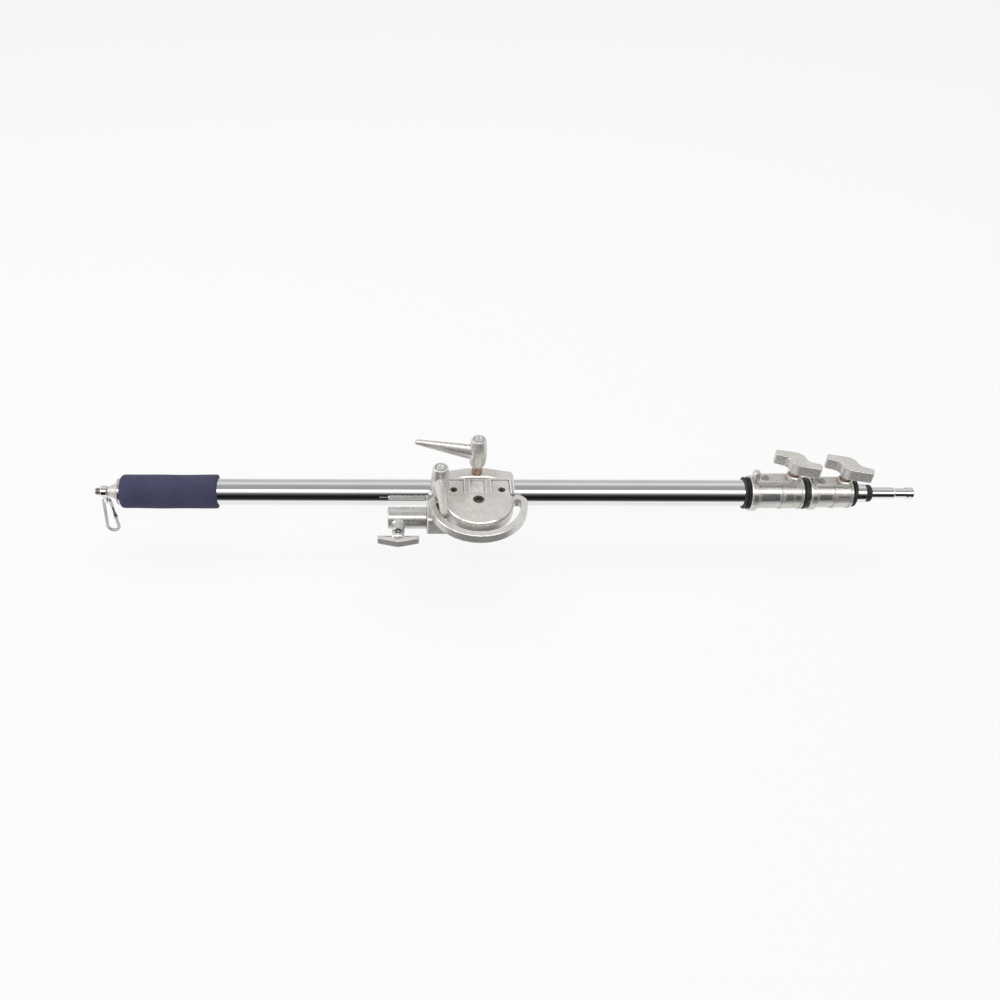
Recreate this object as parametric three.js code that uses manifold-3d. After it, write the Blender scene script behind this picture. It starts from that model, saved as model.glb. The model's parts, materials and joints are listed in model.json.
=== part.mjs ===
// Overhead boom arm, folded, in millimetres. +X runs along the boom to its spigot, +Z is up.
// The origin is the centre of the receiver's mouth, where the boom sits on its stand.
// Until the last lines everything is placed from the boom's own centre line (y = z = 0),
// with x = 0 at the tilt pivot.

import * as THREE from 'three';
import { mergeVertices } from 'three/addons/utils/BufferGeometryUtils.js';
import Module from 'manifold-3d';

const wasm = await Module();
wasm.setup();

// Fits shared by all pieces
const seat_gap = 0.3;
const cut_overrun = 2;
const weld_tolerance = 0.0001;

// Facets round a full turn
const tube_sides = 32;
const cast_sides = 24;
const small_sides = 16;
const wire_sides = 8;

// Steps along drawn curves: a quarter corner has twice the first number
const corner_steps = 1;
const arc_steps = 9;
const disc_steps = 15;
const link_steps = 38;

// Telescoping tubes
const tube_wall = 1.5;
const tube_play = 1;
const tube_1_r = 17.5;
const tube_1_length = 840.2;
const tube_2_length = 640;
const tube_3_set_in = 66.7;
const tube_1_bore_r = tube_1_r - tube_wall;
const tube_2_r = tube_1_bore_r - tube_play;
const tube_2_bore_r = tube_2_r - tube_wall;
const tube_3_r = tube_2_bore_r - tube_play;
const tube_3_bore_r = tube_3_r - tube_wall;

// Head casting: barrel round the boom, plate with the tilt pivot and the slotted arc
const barrel_r = 26;
const barrel_length = 94;
const barrel_chamfer = 1.5;
const pivot_y = -48.8;
const plate_bottom_z = 16.3;
const disc_top_z = 32.4;
const arc_top_z = 28.9;
const disc_r = 43;
const disc_chamfer = 1.6;
const shoulder_half_width = 47;
const shoulder_front_y = -38;
const shoulder_corner_r = 6;
const slot_washer_r = 5.7;
const slot_r = disc_r + seat_gap + slot_washer_r;
const slot_width = 9.5;
const arc_band = 8.25;
const arc_chamfer = 0.8;
const roof_half_depth = 9;
const roof_top_z = 35;
const roof_end_z = 28.5;
const roof_flat_half = 13;
const rib_inner_x = 8.4;
const rib_outer_x = 17;
const panel_edge_x = 41;
const panel_back_y = -10.5;
const panel_front_y = -35.5;
const panel_depth = 2;
const panel_corner_r = 3;
const channel_back_y = -11.5;
const channel_depth = 2.6;

// Bolt of the tilt pivot
const pivot_bolt_r = 5;
const pivot_head_r = 7;
const pivot_head_height = 5.4;
const pivot_head_sink = 0.9;
const pivot_socket_r = 3.6;
const pivot_socket_depth = 3.4;
const pivot_bolt_end = 2.5;
const pivot_washer_r = 9.5;
const pivot_washer_height = 1.6;
const pivot_nut_r = 9.8;
const pivot_nut_height = 8;
const friction_washer_r = 17;
const friction_washer_height = 2.5;

// Screws that close the casting's split
const pinch_x = 30.5;
const pinch_y = -28.5;
const pinch_head_r = 4.4;
const pinch_head_height = 4.6;
const pinch_head_sink = 1.6;
const pinch_shank_r = 2.6;
const pinch_floor = 2;
const pinch_socket_r = 2.2;
const pinch_socket_depth = 2.4;

// Bracket that carries the receiver
const bracket_half_width = 17;
const bracket_length = 65;
const bracket_bottom_z = -14;
const bracket_tail_z = -2;
const bracket_step_x = -30;
const bracket_step_run = 10;
const bracket_edge_r = 2;

// Receiver that takes the stand's 16 mm stud
const receiver_r = 14;
const receiver_length = 49;
const receiver_bore_r = 8.1;
const receiver_bore_depth = 46;
const receiver_chamfer = 1;
const receiver_neck_r = 10;
const receiver_neck_length = 10;
const receiver_boss_x = 35.5;
const receiver_boss_r = 9;
const receiver_boss_height = 27.2;

// Tilt lock in the arc slot
const tilt_stud_r = 4;
const tilt_stud_head_r = 7.2;
const tilt_stud_head_height = 5;
const slot_washer_height = 4;
const tilt_collar_r = 6.4;
const tilt_collar_height = 7.2;

// Clamp lever, two alike: hub, tapered arm and cap screw
const lever_hub_r = 11.4;
const lever_hub_foot_r = 8.2;
const lever_hub_head_r = 9.4;
const lever_hub_height = 45;
const lever_foot_height = 8;
const lever_reach = 77;
const lever_root_z = 22.6;
const lever_rise = 17;
const lever_root_r = 11.2;
const lever_tip_r = 3.9;
const lever_root_flat_share = 0.66;
const lever_tip_flat_share = 0.9;
const lever_stud_depth = 24;
const lever_cap_r = 6;
const lever_cap_depth = 4.5;
const lever_cap_rise = 0.8;
const lever_cap_socket_r = 3;
const lever_turn_tilt = -88.3;
const lever_turn_tube = 180;

// Screw and brake shoe of the tube clamp in the head
const tube_screw_r = 4;
const tube_collar_r = 6.4;
const tube_collar_height = 9.6;
const head_shoe_length = 26;
const head_shoe_width = 15;
const head_shoe_top_z = 23.5;
const thread_gap = 0.3;

// Tube clamps at the ends of the first and second tube
const clamp_1_rear_x = 356.5;
const clamp_1_length = 68.8;
const clamp_1_r = 20;
const clamp_1_flange_r = 23.5;
const clamp_1_boss_top_z = 33;
const clamp_1_block_top_z = 26.5;
const clamp_1_lug_top_z = 38.5;
const clamp_2_length = 56;
const clamp_2_r = 18.8;
const clamp_2_flange_r = 21.8;
const clamp_2_boss_top_z = 25.5;
const clamp_2_block_top_z = 21;
const clamp_2_lug_top_z = 33;
const clamp_seat_depth = 18;
const clamp_flange_length = 9.5;
const clamp_1_knob_x = 53;
const clamp_2_knob_x = 44.3;
const clamp_boss_r = 9.4;
const clamp_rib_height = 0.9;
const clamp_rib_length = 4;
const clamp_block_half_width = 8.6;
const clamp_lug_half_width = 6;
const clamp_lug_length = 7.5;
const clamp_panel_low_z = 4.2;
const clamp_panel_high_z = 11.6;
const clamp_panel_depth = 1;
const clamp_panel_gap = 3;
const clamp_shoe_length = 15;
const clamp_shoe_width = 11;
const clamp_shoe_height = 3.2;
const clamp_1_screw_x = 17.3;
const clamp_2_screw_x = 14.5;
const clamp_screw_head_r = 4.6;
const clamp_screw_head_height = 2.8;
const clamp_screw_shank_r = 2.4;
const clamp_screw_depth = 4.4;
const clamp_screw_slot_width = 1.1;
const clamp_nose_chamfer = 1.2;

// Wing knobs: two on the tube clamps, one on the receiver
const knob_reach = 31;
const knob_tip_half_width = 5.2;
const knob_shoulder_x = 4.8;
const knob_shoulder_half_width = 13.2;
const knob_crook_x = 12;
const knob_crook_half_width = 3;
const knob_hub_r = 9;
const knob_hub_height = 23;
const knob_foot_r = 7.4;
const knob_wing_low = 6;
const knob_wing_height = 16;
const knob_bevel = 1.2;
const knob_corner_r = 2.5;
const knob_screw_r = 4;
const knob_screw_depth = 9;
const knob_collar_r = 7;
const knob_collar_height = 2.6;
const knob_turn = -31;
const t_handle_reach = 26.5;
const handle_tip_half_width = 5.6;
const handle_waist_half_width = 4.6;
const t_handle_hub_height = 21;
const t_handle_wing_low = 5.5;
const t_handle_wing_height = 12;

// Rubber and plastic rings on the tubes
const stop_ring_length = 7.7;
const stop_ring_r = 21;
const stop_ring_groove_r = 19.3;
const band_1_length = 7.4;
const band_1_r = 20.8;
const band_2_length = 7.4;
const band_2_r = 17.8;
const glide_flange_length = 6;
const glide_plug_length = 12;
const glide_wall = 3;

// Foam grip and rear end
const grip_length = 128.4;
const grip_r = 22.5;
const grip_edge_r = 3;
const cap_cone_length = 14;
const cap_rim_length = 1.8;
const cap_cone_small_r = 6;
const cap_cone_large_r = 12;
const cap_plug_length = 20;
const rear_stud_r = 4.85;
const rear_stud_length = 52;
const rear_stud_chamfer = 0.9;
const eye_r = 8;
const eye_length = 8.4;
const ear_thickness = 3.4;
const ear_r = 6;
const ear_z = -13.2;
const ear_hole_r = 3;

// Wire link that hangs from the ear, with its sprung gate
const wire_r = 2.1;
const link_top_r = 4.5;
const link_foot_r = 7.6;
const link_height = 50;
const gate_r = 1.7;
const gate_top_share = 0.2;
const gate_foot_share = 0.62;
const gate_pin_r = 0.8;
const gate_pin_overhang = 1.2;
const gate_knuckle_r = 2.1;

// Spigot and the ring that carries it in the third tube
const end_ring_plug_length = 12;
const end_ring_length = 8.6;
const end_ring_r = 11.2;
const spigot_r = 8;
const spigot_shank_length = 29;
const spigot_groove_r = 6.7;
const spigot_groove_length = 16;
const spigot_head_length = 11.8;
const spigot_edge = 1.6;
const spigot_foot_length = 6;
const spigot_inset = 20;
const tube_3_reach = 11;

// Places along the boom that follow from the sizes above
const tube_1_front_x = clamp_1_rear_x + clamp_seat_depth;
const tube_1_rear_x = tube_1_front_x - tube_1_length;
const knob_1_x = clamp_1_rear_x + clamp_1_knob_x;
const band_1_x = clamp_1_rear_x + clamp_1_length + seat_gap;
const clamp_2_rear_x = band_1_x + band_1_length + seat_gap;
const tube_2_front_x = clamp_2_rear_x + clamp_seat_depth;
const tube_2_rear_x = tube_2_front_x - tube_2_length;
const knob_2_x = clamp_2_rear_x + clamp_2_knob_x;
const band_2_x = clamp_2_rear_x + clamp_2_length + seat_gap;
const tube_3_front_x = band_2_x + band_2_length + tube_3_reach;
const tube_3_rear_x = tube_2_rear_x + tube_3_set_in;
const tube_3_length = tube_3_front_x - tube_3_rear_x;
const bracket_top_z = plate_bottom_z - friction_washer_height - 2 * seat_gap;
const receiver_rear_x = -bracket_length - seat_gap;
const receiver_mouth_x = receiver_rear_x - receiver_length;
const t_handle_x = receiver_rear_x - receiver_boss_x;
const cap_rim_x = tube_1_rear_x - seat_gap - cap_rim_length;
const cap_tip_x = cap_rim_x - cap_cone_length;
const eye_x = cap_tip_x - seat_gap - eye_length;
const arc_r = slot_r + slot_width / 2 + arc_band;

// Finishes
const cast_metal = finish(0xc9c5bf, 0.42, 0.85);
const chrome = finish(0xdedede, 0.12, 1);
const satin_steel = finish(0xb4b2ae, 0.32, 0.95);
const dark_steel = finish(0x4a4846, 0.45, 0.8);
const copper = finish(0xa07058, 0.38, 0.9);
const black_rubber = finish(0x1a1a1b, 0.75, 0);
const white_plastic = finish(0xd8d4cf, 0.5, 0);
const navy_foam = finish(0x3b3d58, 0.92, 0);
const brake_nylon = finish(0x2c2c2e, 0.6, 0);

function finish(color, roughness, metalness) {
  return new THREE.MeshStandardMaterial({ color, roughness, metalness });
}

// Solids from geometries

// Closed solid from a geometry: shared corners merged, slivers dropped, faces turned outwards.
function solid(geometry) {
  const bare = geometry.clone();
  bare.deleteAttribute('normal');
  bare.deleteAttribute('uv');
  const merged = mergeVertices(bare, weld_tolerance);
  const corners = merged.attributes.position.array;
  const faces = [];
  let volume = 0;
  for (let i = 0; i < merged.index.count; i += 3) {
    const face = [0, 1, 2].map((k) => merged.index.getX(i + k));
    if (new Set(face).size < 3) continue;
    const [a, b, c] = face.map((k) => new THREE.Vector3().fromArray(corners, 3 * k));
    volume += a.dot(b.cross(c));
    faces.push(face);
  }
  const turned = volume < 0 ? faces.map(([a, b, c]) => [a, c, b]) : faces;
  return new wasm.Manifold(new wasm.Mesh({
    numProp: 3,
    vertProperties: new Float32Array(corners),
    triVerts: new Uint32Array(turned.flat()),
  }));
}

function mesh(name, body, material) {
  const data = body.getMesh();
  const geometry = new THREE.BufferGeometry();
  geometry.setAttribute('position', new THREE.BufferAttribute(new Float32Array(data.vertProperties), 3));
  geometry.setIndex(new THREE.BufferAttribute(new Uint32Array(data.triVerts), 1));
  geometry.computeVertexNormals();
  const piece = new THREE.Mesh(geometry, material);
  piece.name = name;
  return piece;
}

const along_x = new THREE.Matrix4().makeRotationZ(-Math.PI / 2);
const along_z = new THREE.Matrix4().makeRotationX(Math.PI / 2);
const degrees = (angle) => (angle * Math.PI) / 180;

// Revolved solids: a profile of [station along the axis, radius] pairs
function turned(profile, sides, placing) {
  const points = profile.map(([station, radius]) => new THREE.Vector2(radius, station));
  return solid(new THREE.LatheGeometry(points, sides).applyMatrix4(placing));
}

const turned_x = (profile, sides = cast_sides) => turned(profile, sides, along_x);
const turned_z = (profile, sides = small_sides) => turned(profile, sides, along_z);

function ring_x(x, length, inner_r, outer_r, sides = cast_sides) {
  const end = x + length;
  return turned_x([[x, inner_r], [end, inner_r], [end, outer_r], [x, outer_r], [x, inner_r]], sides);
}

function rod_x(x, length, radius, sides = cast_sides) {
  return turned_x([[x, 0], [x, radius], [x + length, radius], [x + length, 0]], sides);
}

function rod_z(x, y, z, height, radius, sides = small_sides) {
  return turned_z([[z, 0], [z, radius], [z + height, radius], [z + height, 0]], sides).translate([x, y, 0]);
}

function ring_z(x, y, z, height, inner_r, outer_r, sides = small_sides) {
  const top = z + height;
  const profile = [[z, inner_r], [top, inner_r], [top, outer_r], [z, outer_r], [z, inner_r]];
  return turned_z(profile, sides).translate([x, y, 0]);
}

function block(x0, x1, y0, y1, z0, z1) {
  const shape = new THREE.BoxGeometry(x1 - x0, y1 - y0, z1 - z0);
  return solid(shape.translate((x0 + x1) / 2, (y0 + y1) / 2, (z0 + z1) / 2));
}

// Plan outline raised along Z, its top and bottom edges bevelled inside the outline
function raised(shape, z0, z1, bevel = 0, curveSegments = 10) {
  const options = {
    depth: z1 - z0 - 2 * bevel,
    curveSegments,
    bevelEnabled: bevel > 0,
    bevelThickness: bevel,
    bevelSize: bevel,
    bevelOffset: -bevel,
    bevelSegments: 1,
  };
  return solid(new THREE.ExtrudeGeometry(shape, options).translate(0, 0, z0 + bevel));
}

function rounded_rectangle(x0, x1, y0, y1, r) {
  const shape = new THREE.Shape();
  shape.moveTo(x0 + r, y0);
  shape.lineTo(x1 - r, y0);
  shape.absarc(x1 - r, y0 + r, r, -Math.PI / 2, 0);
  shape.lineTo(x1, y1 - r);
  shape.absarc(x1 - r, y1 - r, r, 0, Math.PI / 2);
  shape.lineTo(x0 + r, y1);
  shape.absarc(x0 + r, y1 - r, r, Math.PI / 2, Math.PI);
  shape.lineTo(x0, y0 + r);
  shape.absarc(x0 + r, y0 + r, r, Math.PI, 1.5 * Math.PI);
  return shape;
}

// Head casting

// Half ring below its centre line with round ends, used for the arc plate and for its slot
function half_ring(middle_r, half_width) {
  const shape = new THREE.Shape();
  const outer_r = middle_r + half_width;
  const inner_r = middle_r - half_width;
  shape.absarc(0, pivot_y, outer_r, Math.PI, 2 * Math.PI, false);
  shape.absarc(middle_r, pivot_y, half_width, 0, Math.PI, false);
  shape.absarc(0, pivot_y, inner_r, 2 * Math.PI, Math.PI, true);
  shape.absarc(-middle_r, pivot_y, half_width, 0, Math.PI, false);
  return shape;
}

function head_plate() {
  const disc = new THREE.Shape();
  disc.absarc(0, pivot_y, disc_r, 0, 2 * Math.PI);
  const corner = shoulder_corner_r;
  const width = shoulder_half_width;
  const shoulders = rounded_rectangle(-width, width, shoulder_front_y, corner, corner);
  const arc_half_width = arc_r - slot_r;
  return raised(disc, plate_bottom_z, disc_top_z, disc_chamfer, disc_steps)
    .add(raised(shoulders, plate_bottom_z, disc_top_z, disc_chamfer, corner_steps))
    .add(raised(half_ring(slot_r, arc_half_width), plate_bottom_z, arc_top_z, arc_chamfer, arc_steps));
}

function head_roof() {
  const half = barrel_length / 2 - barrel_chamfer;
  const outline = new THREE.Shape();
  outline.moveTo(-half, 0);
  outline.lineTo(half, 0);
  outline.lineTo(half, roof_end_z);
  outline.lineTo(roof_flat_half, roof_top_z);
  outline.lineTo(-roof_flat_half, roof_top_z);
  outline.lineTo(-half, roof_end_z);
  return raised(outline, -roof_half_depth, roof_half_depth, barrel_chamfer).rotate([90, 0, 0]);
}

// Shallow panels between the ribs, and the flat channel in front of the clamp screw
function head_recesses() {
  const top = disc_top_z + cut_overrun;
  const panel = rounded_rectangle(rib_outer_x, panel_edge_x, panel_front_y, panel_back_y, panel_corner_r);
  const right = raised(panel, disc_top_z - panel_depth, top, 0, corner_steps);
  const channel = rounded_rectangle(
    -rib_inner_x, rib_inner_x, panel_front_y, channel_back_y, panel_corner_r / 2,
  );
  return right.add(right.mirror([1, 0, 0]))
    .add(raised(channel, disc_top_z - channel_depth, top, 0, corner_steps));
}

function pinch_screw_hole(x) {
  const head_floor = disc_top_z - pinch_head_sink - pinch_head_height - panel_depth - seat_gap;
  const shank_floor = plate_bottom_z + pinch_floor;
  return rod_z(x, pinch_y, head_floor, disc_top_z - head_floor, pinch_head_r + seat_gap)
    .add(rod_z(x, pinch_y, shank_floor, disc_top_z - shank_floor, pinch_shank_r + seat_gap));
}

function head_casting() {
  const half = barrel_length / 2;
  const end_r = barrel_r - barrel_chamfer;
  const barrel = turned_x([
    [-half, 0], [-half, end_r], [-half + barrel_chamfer, barrel_r],
    [half - barrel_chamfer, barrel_r], [half, end_r], [half, 0],
  ], tube_sides);
  const pivot_counterbore_z = disc_top_z - pivot_head_sink - pivot_head_height - seat_gap;
  const thickness = disc_top_z - plate_bottom_z;
  const shoe_length = head_shoe_length + 2 * seat_gap;
  const shoe_width = head_shoe_width + 2 * seat_gap;
  const slot = half_ring(slot_r, slot_width / 2);
  return barrel.add(head_plate()).add(head_roof())
    .subtract(head_recesses())
    .subtract(raised(slot, plate_bottom_z - cut_overrun, disc_top_z, 0, arc_steps))
    .subtract(rod_x(-half - cut_overrun, barrel_length + 2 * cut_overrun, tube_1_r + seat_gap, tube_sides))
    .subtract(rod_z(0, pivot_y, plate_bottom_z - cut_overrun, thickness + 2 * cut_overrun,
      pivot_bolt_r + seat_gap))
    .subtract(rod_z(0, pivot_y, pivot_counterbore_z, thickness, pivot_head_r + seat_gap))
    .subtract(pinch_screw_hole(-pinch_x))
    .subtract(pinch_screw_hole(pinch_x))
    .subtract(block(-shoe_length / 2, shoe_length / 2, -shoe_width / 2, shoe_width / 2,
      0, head_shoe_top_z + seat_gap))
    .subtract(rod_z(0, 0, 0, roof_top_z + cut_overrun, tube_screw_r + thread_gap));
}

function pinch_screw(x) {
  const top = disc_top_z - panel_depth - pinch_head_sink;
  const foot = plate_bottom_z + pinch_floor + seat_gap;
  const socket = rod_z(x, pinch_y, top - pinch_socket_depth, pinch_head_height, pinch_socket_r, 6);
  return rod_z(x, pinch_y, top - pinch_head_height, pinch_head_height, pinch_head_r)
    .add(rod_z(x, pinch_y, foot, top - foot, pinch_shank_r))
    .subtract(socket);
}

// Block that presses on a tube: flat top, hollowed underneath to the tube's radius
function brake_shoe(x, length, width, top_z, pressed_r) {
  const raw = block(x - length / 2, x + length / 2, -width / 2, width / 2, 0, top_z);
  return raw.subtract(rod_x(x - length, 2 * length, pressed_r + seat_gap, tube_sides));
}

// Pivot and bracket

function pivot_bolt() {
  const top = disc_top_z - pivot_head_sink;
  const foot = bracket_tail_z - pivot_washer_height - pivot_nut_height - 2 * seat_gap - pivot_bolt_end;
  const socket_floor = top - pivot_socket_depth;
  return rod_z(0, pivot_y, top - pivot_head_height, pivot_head_height, pivot_head_r)
    .add(rod_z(0, pivot_y, foot, top - foot, pivot_bolt_r))
    .subtract(rod_z(0, pivot_y, socket_floor, pivot_socket_depth + cut_overrun, pivot_socket_r, 6));
}

function pivot_washer() {
  const z = bracket_tail_z - seat_gap - pivot_washer_height;
  return ring_z(0, pivot_y, z, pivot_washer_height, pivot_bolt_r + seat_gap, pivot_washer_r);
}

function pivot_nut() {
  const z = bracket_tail_z - 2 * seat_gap - pivot_washer_height - pivot_nut_height;
  return rod_z(0, pivot_y, z, pivot_nut_height, pivot_nut_r, 6)
    .subtract(rod_z(0, pivot_y, z - cut_overrun, pivot_nut_height + 2 * cut_overrun,
      pivot_bolt_r + seat_gap));
}

function friction_washer() {
  const z = bracket_top_z + seat_gap;
  return ring_z(0, pivot_y, z, friction_washer_height, pivot_bolt_r + seat_gap, friction_washer_r,
    cast_sides);
}

// The bracket's side outline is cut to its plan: square at the receiver, round at the pivot
function receiver_bracket() {
  const side = new THREE.Shape();
  side.moveTo(-bracket_length, bracket_bottom_z);
  side.lineTo(bracket_step_x, bracket_bottom_z);
  side.lineTo(bracket_step_x + bracket_step_run, bracket_tail_z);
  side.lineTo(bracket_half_width, bracket_tail_z);
  side.lineTo(bracket_half_width, bracket_top_z);
  side.lineTo(-bracket_length, bracket_top_z);
  const low_y = pivot_y - bracket_half_width;
  const high_y = pivot_y + bracket_half_width;
  const body = raised(side, -high_y, -low_y, bracket_edge_r).rotate([90, 0, 0]);
  const plan = new THREE.Shape();
  plan.moveTo(-bracket_length - cut_overrun, low_y);
  plan.lineTo(0, low_y);
  plan.absarc(0, pivot_y, bracket_half_width, -Math.PI / 2, Math.PI / 2);
  plan.lineTo(-bracket_length - cut_overrun, high_y);
  const height = bracket_top_z - bracket_bottom_z;
  const tall = height + 2 * cut_overrun;
  const base = bracket_bottom_z - cut_overrun;
  const neck_hole_length = receiver_neck_length + seat_gap;
  return body.intersect(raised(plan, base, base + tall))
    .subtract(rod_z(0, pivot_y, base, tall, pivot_bolt_r + seat_gap))
    .subtract(rod_z(-slot_r, pivot_y, base, tall, tilt_stud_r + seat_gap))
    .subtract(rod_x(-bracket_length - cut_overrun, neck_hole_length + cut_overrun,
      receiver_neck_r + seat_gap).translate([0, pivot_y, 0]));
}

function receiver_tube() {
  const mouth = receiver_mouth_x;
  const rear = receiver_rear_x;
  const bore_end = mouth + receiver_bore_depth;
  const body = turned_x([
    [bore_end, 0],
    [bore_end, receiver_bore_r],
    [mouth + receiver_chamfer / 2, receiver_bore_r],
    [mouth, receiver_bore_r + receiver_chamfer / 2],
    [mouth, receiver_r - receiver_chamfer],
    [mouth + receiver_chamfer, receiver_r],
    [rear, receiver_r],
    [rear, receiver_neck_r],
    [rear + receiver_neck_length, receiver_neck_r],
    [rear + receiver_neck_length, 0],
  ]);
  const boss_start = receiver_bore_r + tube_wall;
  const boss = rod_z(0, 0, boss_start, receiver_boss_height - boss_start, receiver_boss_r);
  const hole = rod_z(0, 0, 0, receiver_boss_height + cut_overrun, knob_screw_r + thread_gap);
  const place = (part) => part.rotate([90, 0, 0]).translate([t_handle_x, 0, 0]);
  return body.add(place(boss)).subtract(place(hole)).translate([0, pivot_y, 0]);
}

function tilt_stud() {
  const head_top = bracket_bottom_z - seat_gap;
  const head_foot = head_top - tilt_stud_head_height;
  const tip = tilt_lever_z + lever_stud_depth;
  return rod_z(-slot_r, pivot_y, head_foot, tilt_stud_head_height, tilt_stud_head_r, 6)
    .add(rod_z(-slot_r, pivot_y, head_foot, tip - head_foot, tilt_stud_r));
}

const slot_washer_z = arc_top_z + seat_gap;
const tilt_collar_z = slot_washer_z + slot_washer_height + seat_gap;
const tilt_lever_z = tilt_collar_z + tilt_collar_height + seat_gap;
const tube_collar_z = roof_top_z + seat_gap;
const tube_lever_z = tube_collar_z + tube_collar_height + seat_gap;

// Clamp levers, drawn with the hub on Z and the arm along +X

function lever_body() {
  const top = lever_hub_height;
  const hub = turned_z([
    [0, 0],
    [0, lever_hub_foot_r],
    [lever_foot_height, lever_hub_r - lever_cap_rise / 2],
    [top / 2, lever_hub_r],
    [top - lever_foot_height, lever_hub_head_r + lever_cap_rise / 2],
    [top - lever_cap_rise, lever_hub_head_r],
    [top, lever_hub_head_r - lever_cap_rise],
    [top, 0],
  ], cast_sides);
  const length = Math.hypot(lever_reach, lever_rise);
  const slope = (Math.atan2(lever_rise, lever_reach) * 180) / Math.PI;
  const round = lever_tip_r * Math.SQRT1_2;
  const root = rod_x(0, lever_tip_r, lever_root_r, small_sides / 2).scale([1, lever_root_flat_share, 1]);
  const tip = turned_x([
    [length - lever_tip_r, 0],
    [length - lever_tip_r, lever_tip_r],
    [length, lever_tip_r],
    [length + round, round],
    [length + lever_tip_r, 0],
  ], small_sides / 2).scale([1, lever_tip_flat_share, 1]);
  const arm = wasm.Manifold.hull([root, tip]).rotate([0, -slope, 0]).translate([0, 0, lever_root_z]);
  return hub.add(arm)
    .subtract(rod_z(0, 0, -cut_overrun, lever_stud_depth + cut_overrun + seat_gap,
      tilt_stud_r + thread_gap))
    .subtract(rod_z(0, 0, top - lever_cap_depth, lever_cap_depth + cut_overrun,
      lever_cap_r + seat_gap));
}

function lever_cap_screw() {
  const foot = lever_hub_height - lever_cap_depth + seat_gap;
  const top = lever_hub_height + lever_cap_rise;
  const edge = lever_cap_r - lever_cap_rise;
  return turned_z([
    [foot, 0], [foot, lever_cap_r], [top - lever_cap_rise, lever_cap_r], [top, edge], [top, 0],
  ]).subtract(rod_z(0, 0, lever_hub_height - lever_cap_rise, lever_cap_depth, lever_cap_socket_r, 6));
}

function place_lever(part, x, y, z, turn) {
  return part.rotate([0, 0, turn]).translate([x, y, z]);
}

// Wing knobs, drawn with the screw on Z and the wings along X

function knob_outline() {
  const shape = new THREE.Shape();
  const tip = knob_tip_half_width;
  const crook = knob_crook_half_width;
  const shoulder = knob_shoulder_half_width;
  const corner = knob_reach - knob_corner_r;
  shape.moveTo(knob_reach, -tip);
  shape.lineTo(corner, tip);
  shape.lineTo(knob_crook_x, crook);
  shape.quadraticCurveTo(knob_hub_r, crook, knob_hub_r / 2, knob_hub_r);
  shape.quadraticCurveTo(0, shoulder, -knob_shoulder_x, shoulder);
  shape.lineTo(-knob_reach, tip);
  shape.lineTo(-corner, -tip);
  shape.lineTo(-knob_crook_x, -crook);
  shape.quadraticCurveTo(-knob_hub_r, -crook, -knob_hub_r / 2, -knob_hub_r);
  shape.quadraticCurveTo(0, -shoulder, knob_shoulder_x, -shoulder);
  shape.lineTo(knob_reach, -tip);
  return shape;
}

function handle_outline(reach) {
  const shape = new THREE.Shape();
  const tip = handle_tip_half_width;
  const waist = handle_waist_half_width;
  const hub = knob_hub_r;
  const round = knob_corner_r;
  shape.moveTo(reach, -tip + round);
  shape.lineTo(reach, tip - round);
  shape.quadraticCurveTo(reach, tip, reach - round, tip);
  shape.quadraticCurveTo(reach / 2, waist, hub / 2, hub);
  shape.lineTo(-hub / 2, hub);
  shape.quadraticCurveTo(-reach / 2, waist, -reach + round, tip);
  shape.quadraticCurveTo(-reach, tip, -reach, tip - round);
  shape.lineTo(-reach, -tip + round);
  shape.quadraticCurveTo(-reach, -tip, -reach + round, -tip);
  shape.quadraticCurveTo(-reach / 2, -waist, -hub / 2, -hub);
  shape.lineTo(hub / 2, -hub);
  shape.quadraticCurveTo(reach / 2, -waist, reach - round, -tip);
  shape.quadraticCurveTo(reach, -tip, reach, -tip + round);
  return shape;
}

function wing_knob(outline, hub_height, wing_low, wing_height) {
  const wings = raised(outline, wing_low, wing_low + wing_height, knob_bevel, 2 * corner_steps);
  const hub = turned_z([
    [0, 0],
    [0, knob_foot_r - knob_bevel],
    [knob_bevel, knob_foot_r],
    [wing_low, knob_hub_r],
    [hub_height - knob_bevel, knob_hub_r],
    [hub_height, knob_hub_r - knob_bevel],
    [hub_height, 0],
  ]);
  const hole_depth = knob_screw_depth + seat_gap;
  return wings.add(hub)
    .subtract(rod_z(0, 0, -cut_overrun, hole_depth + cut_overrun, knob_screw_r + thread_gap));
}

// Tube clamps, drawn from x = 0 at the rear face

function clamp_panels(from, to, radius) {
  const panel = block(from, to, -radius - cut_overrun, -radius + clamp_panel_depth,
    clamp_panel_low_z, clamp_panel_high_z);
  return panel.add(panel.mirror([0, 1, 0]));
}

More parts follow.
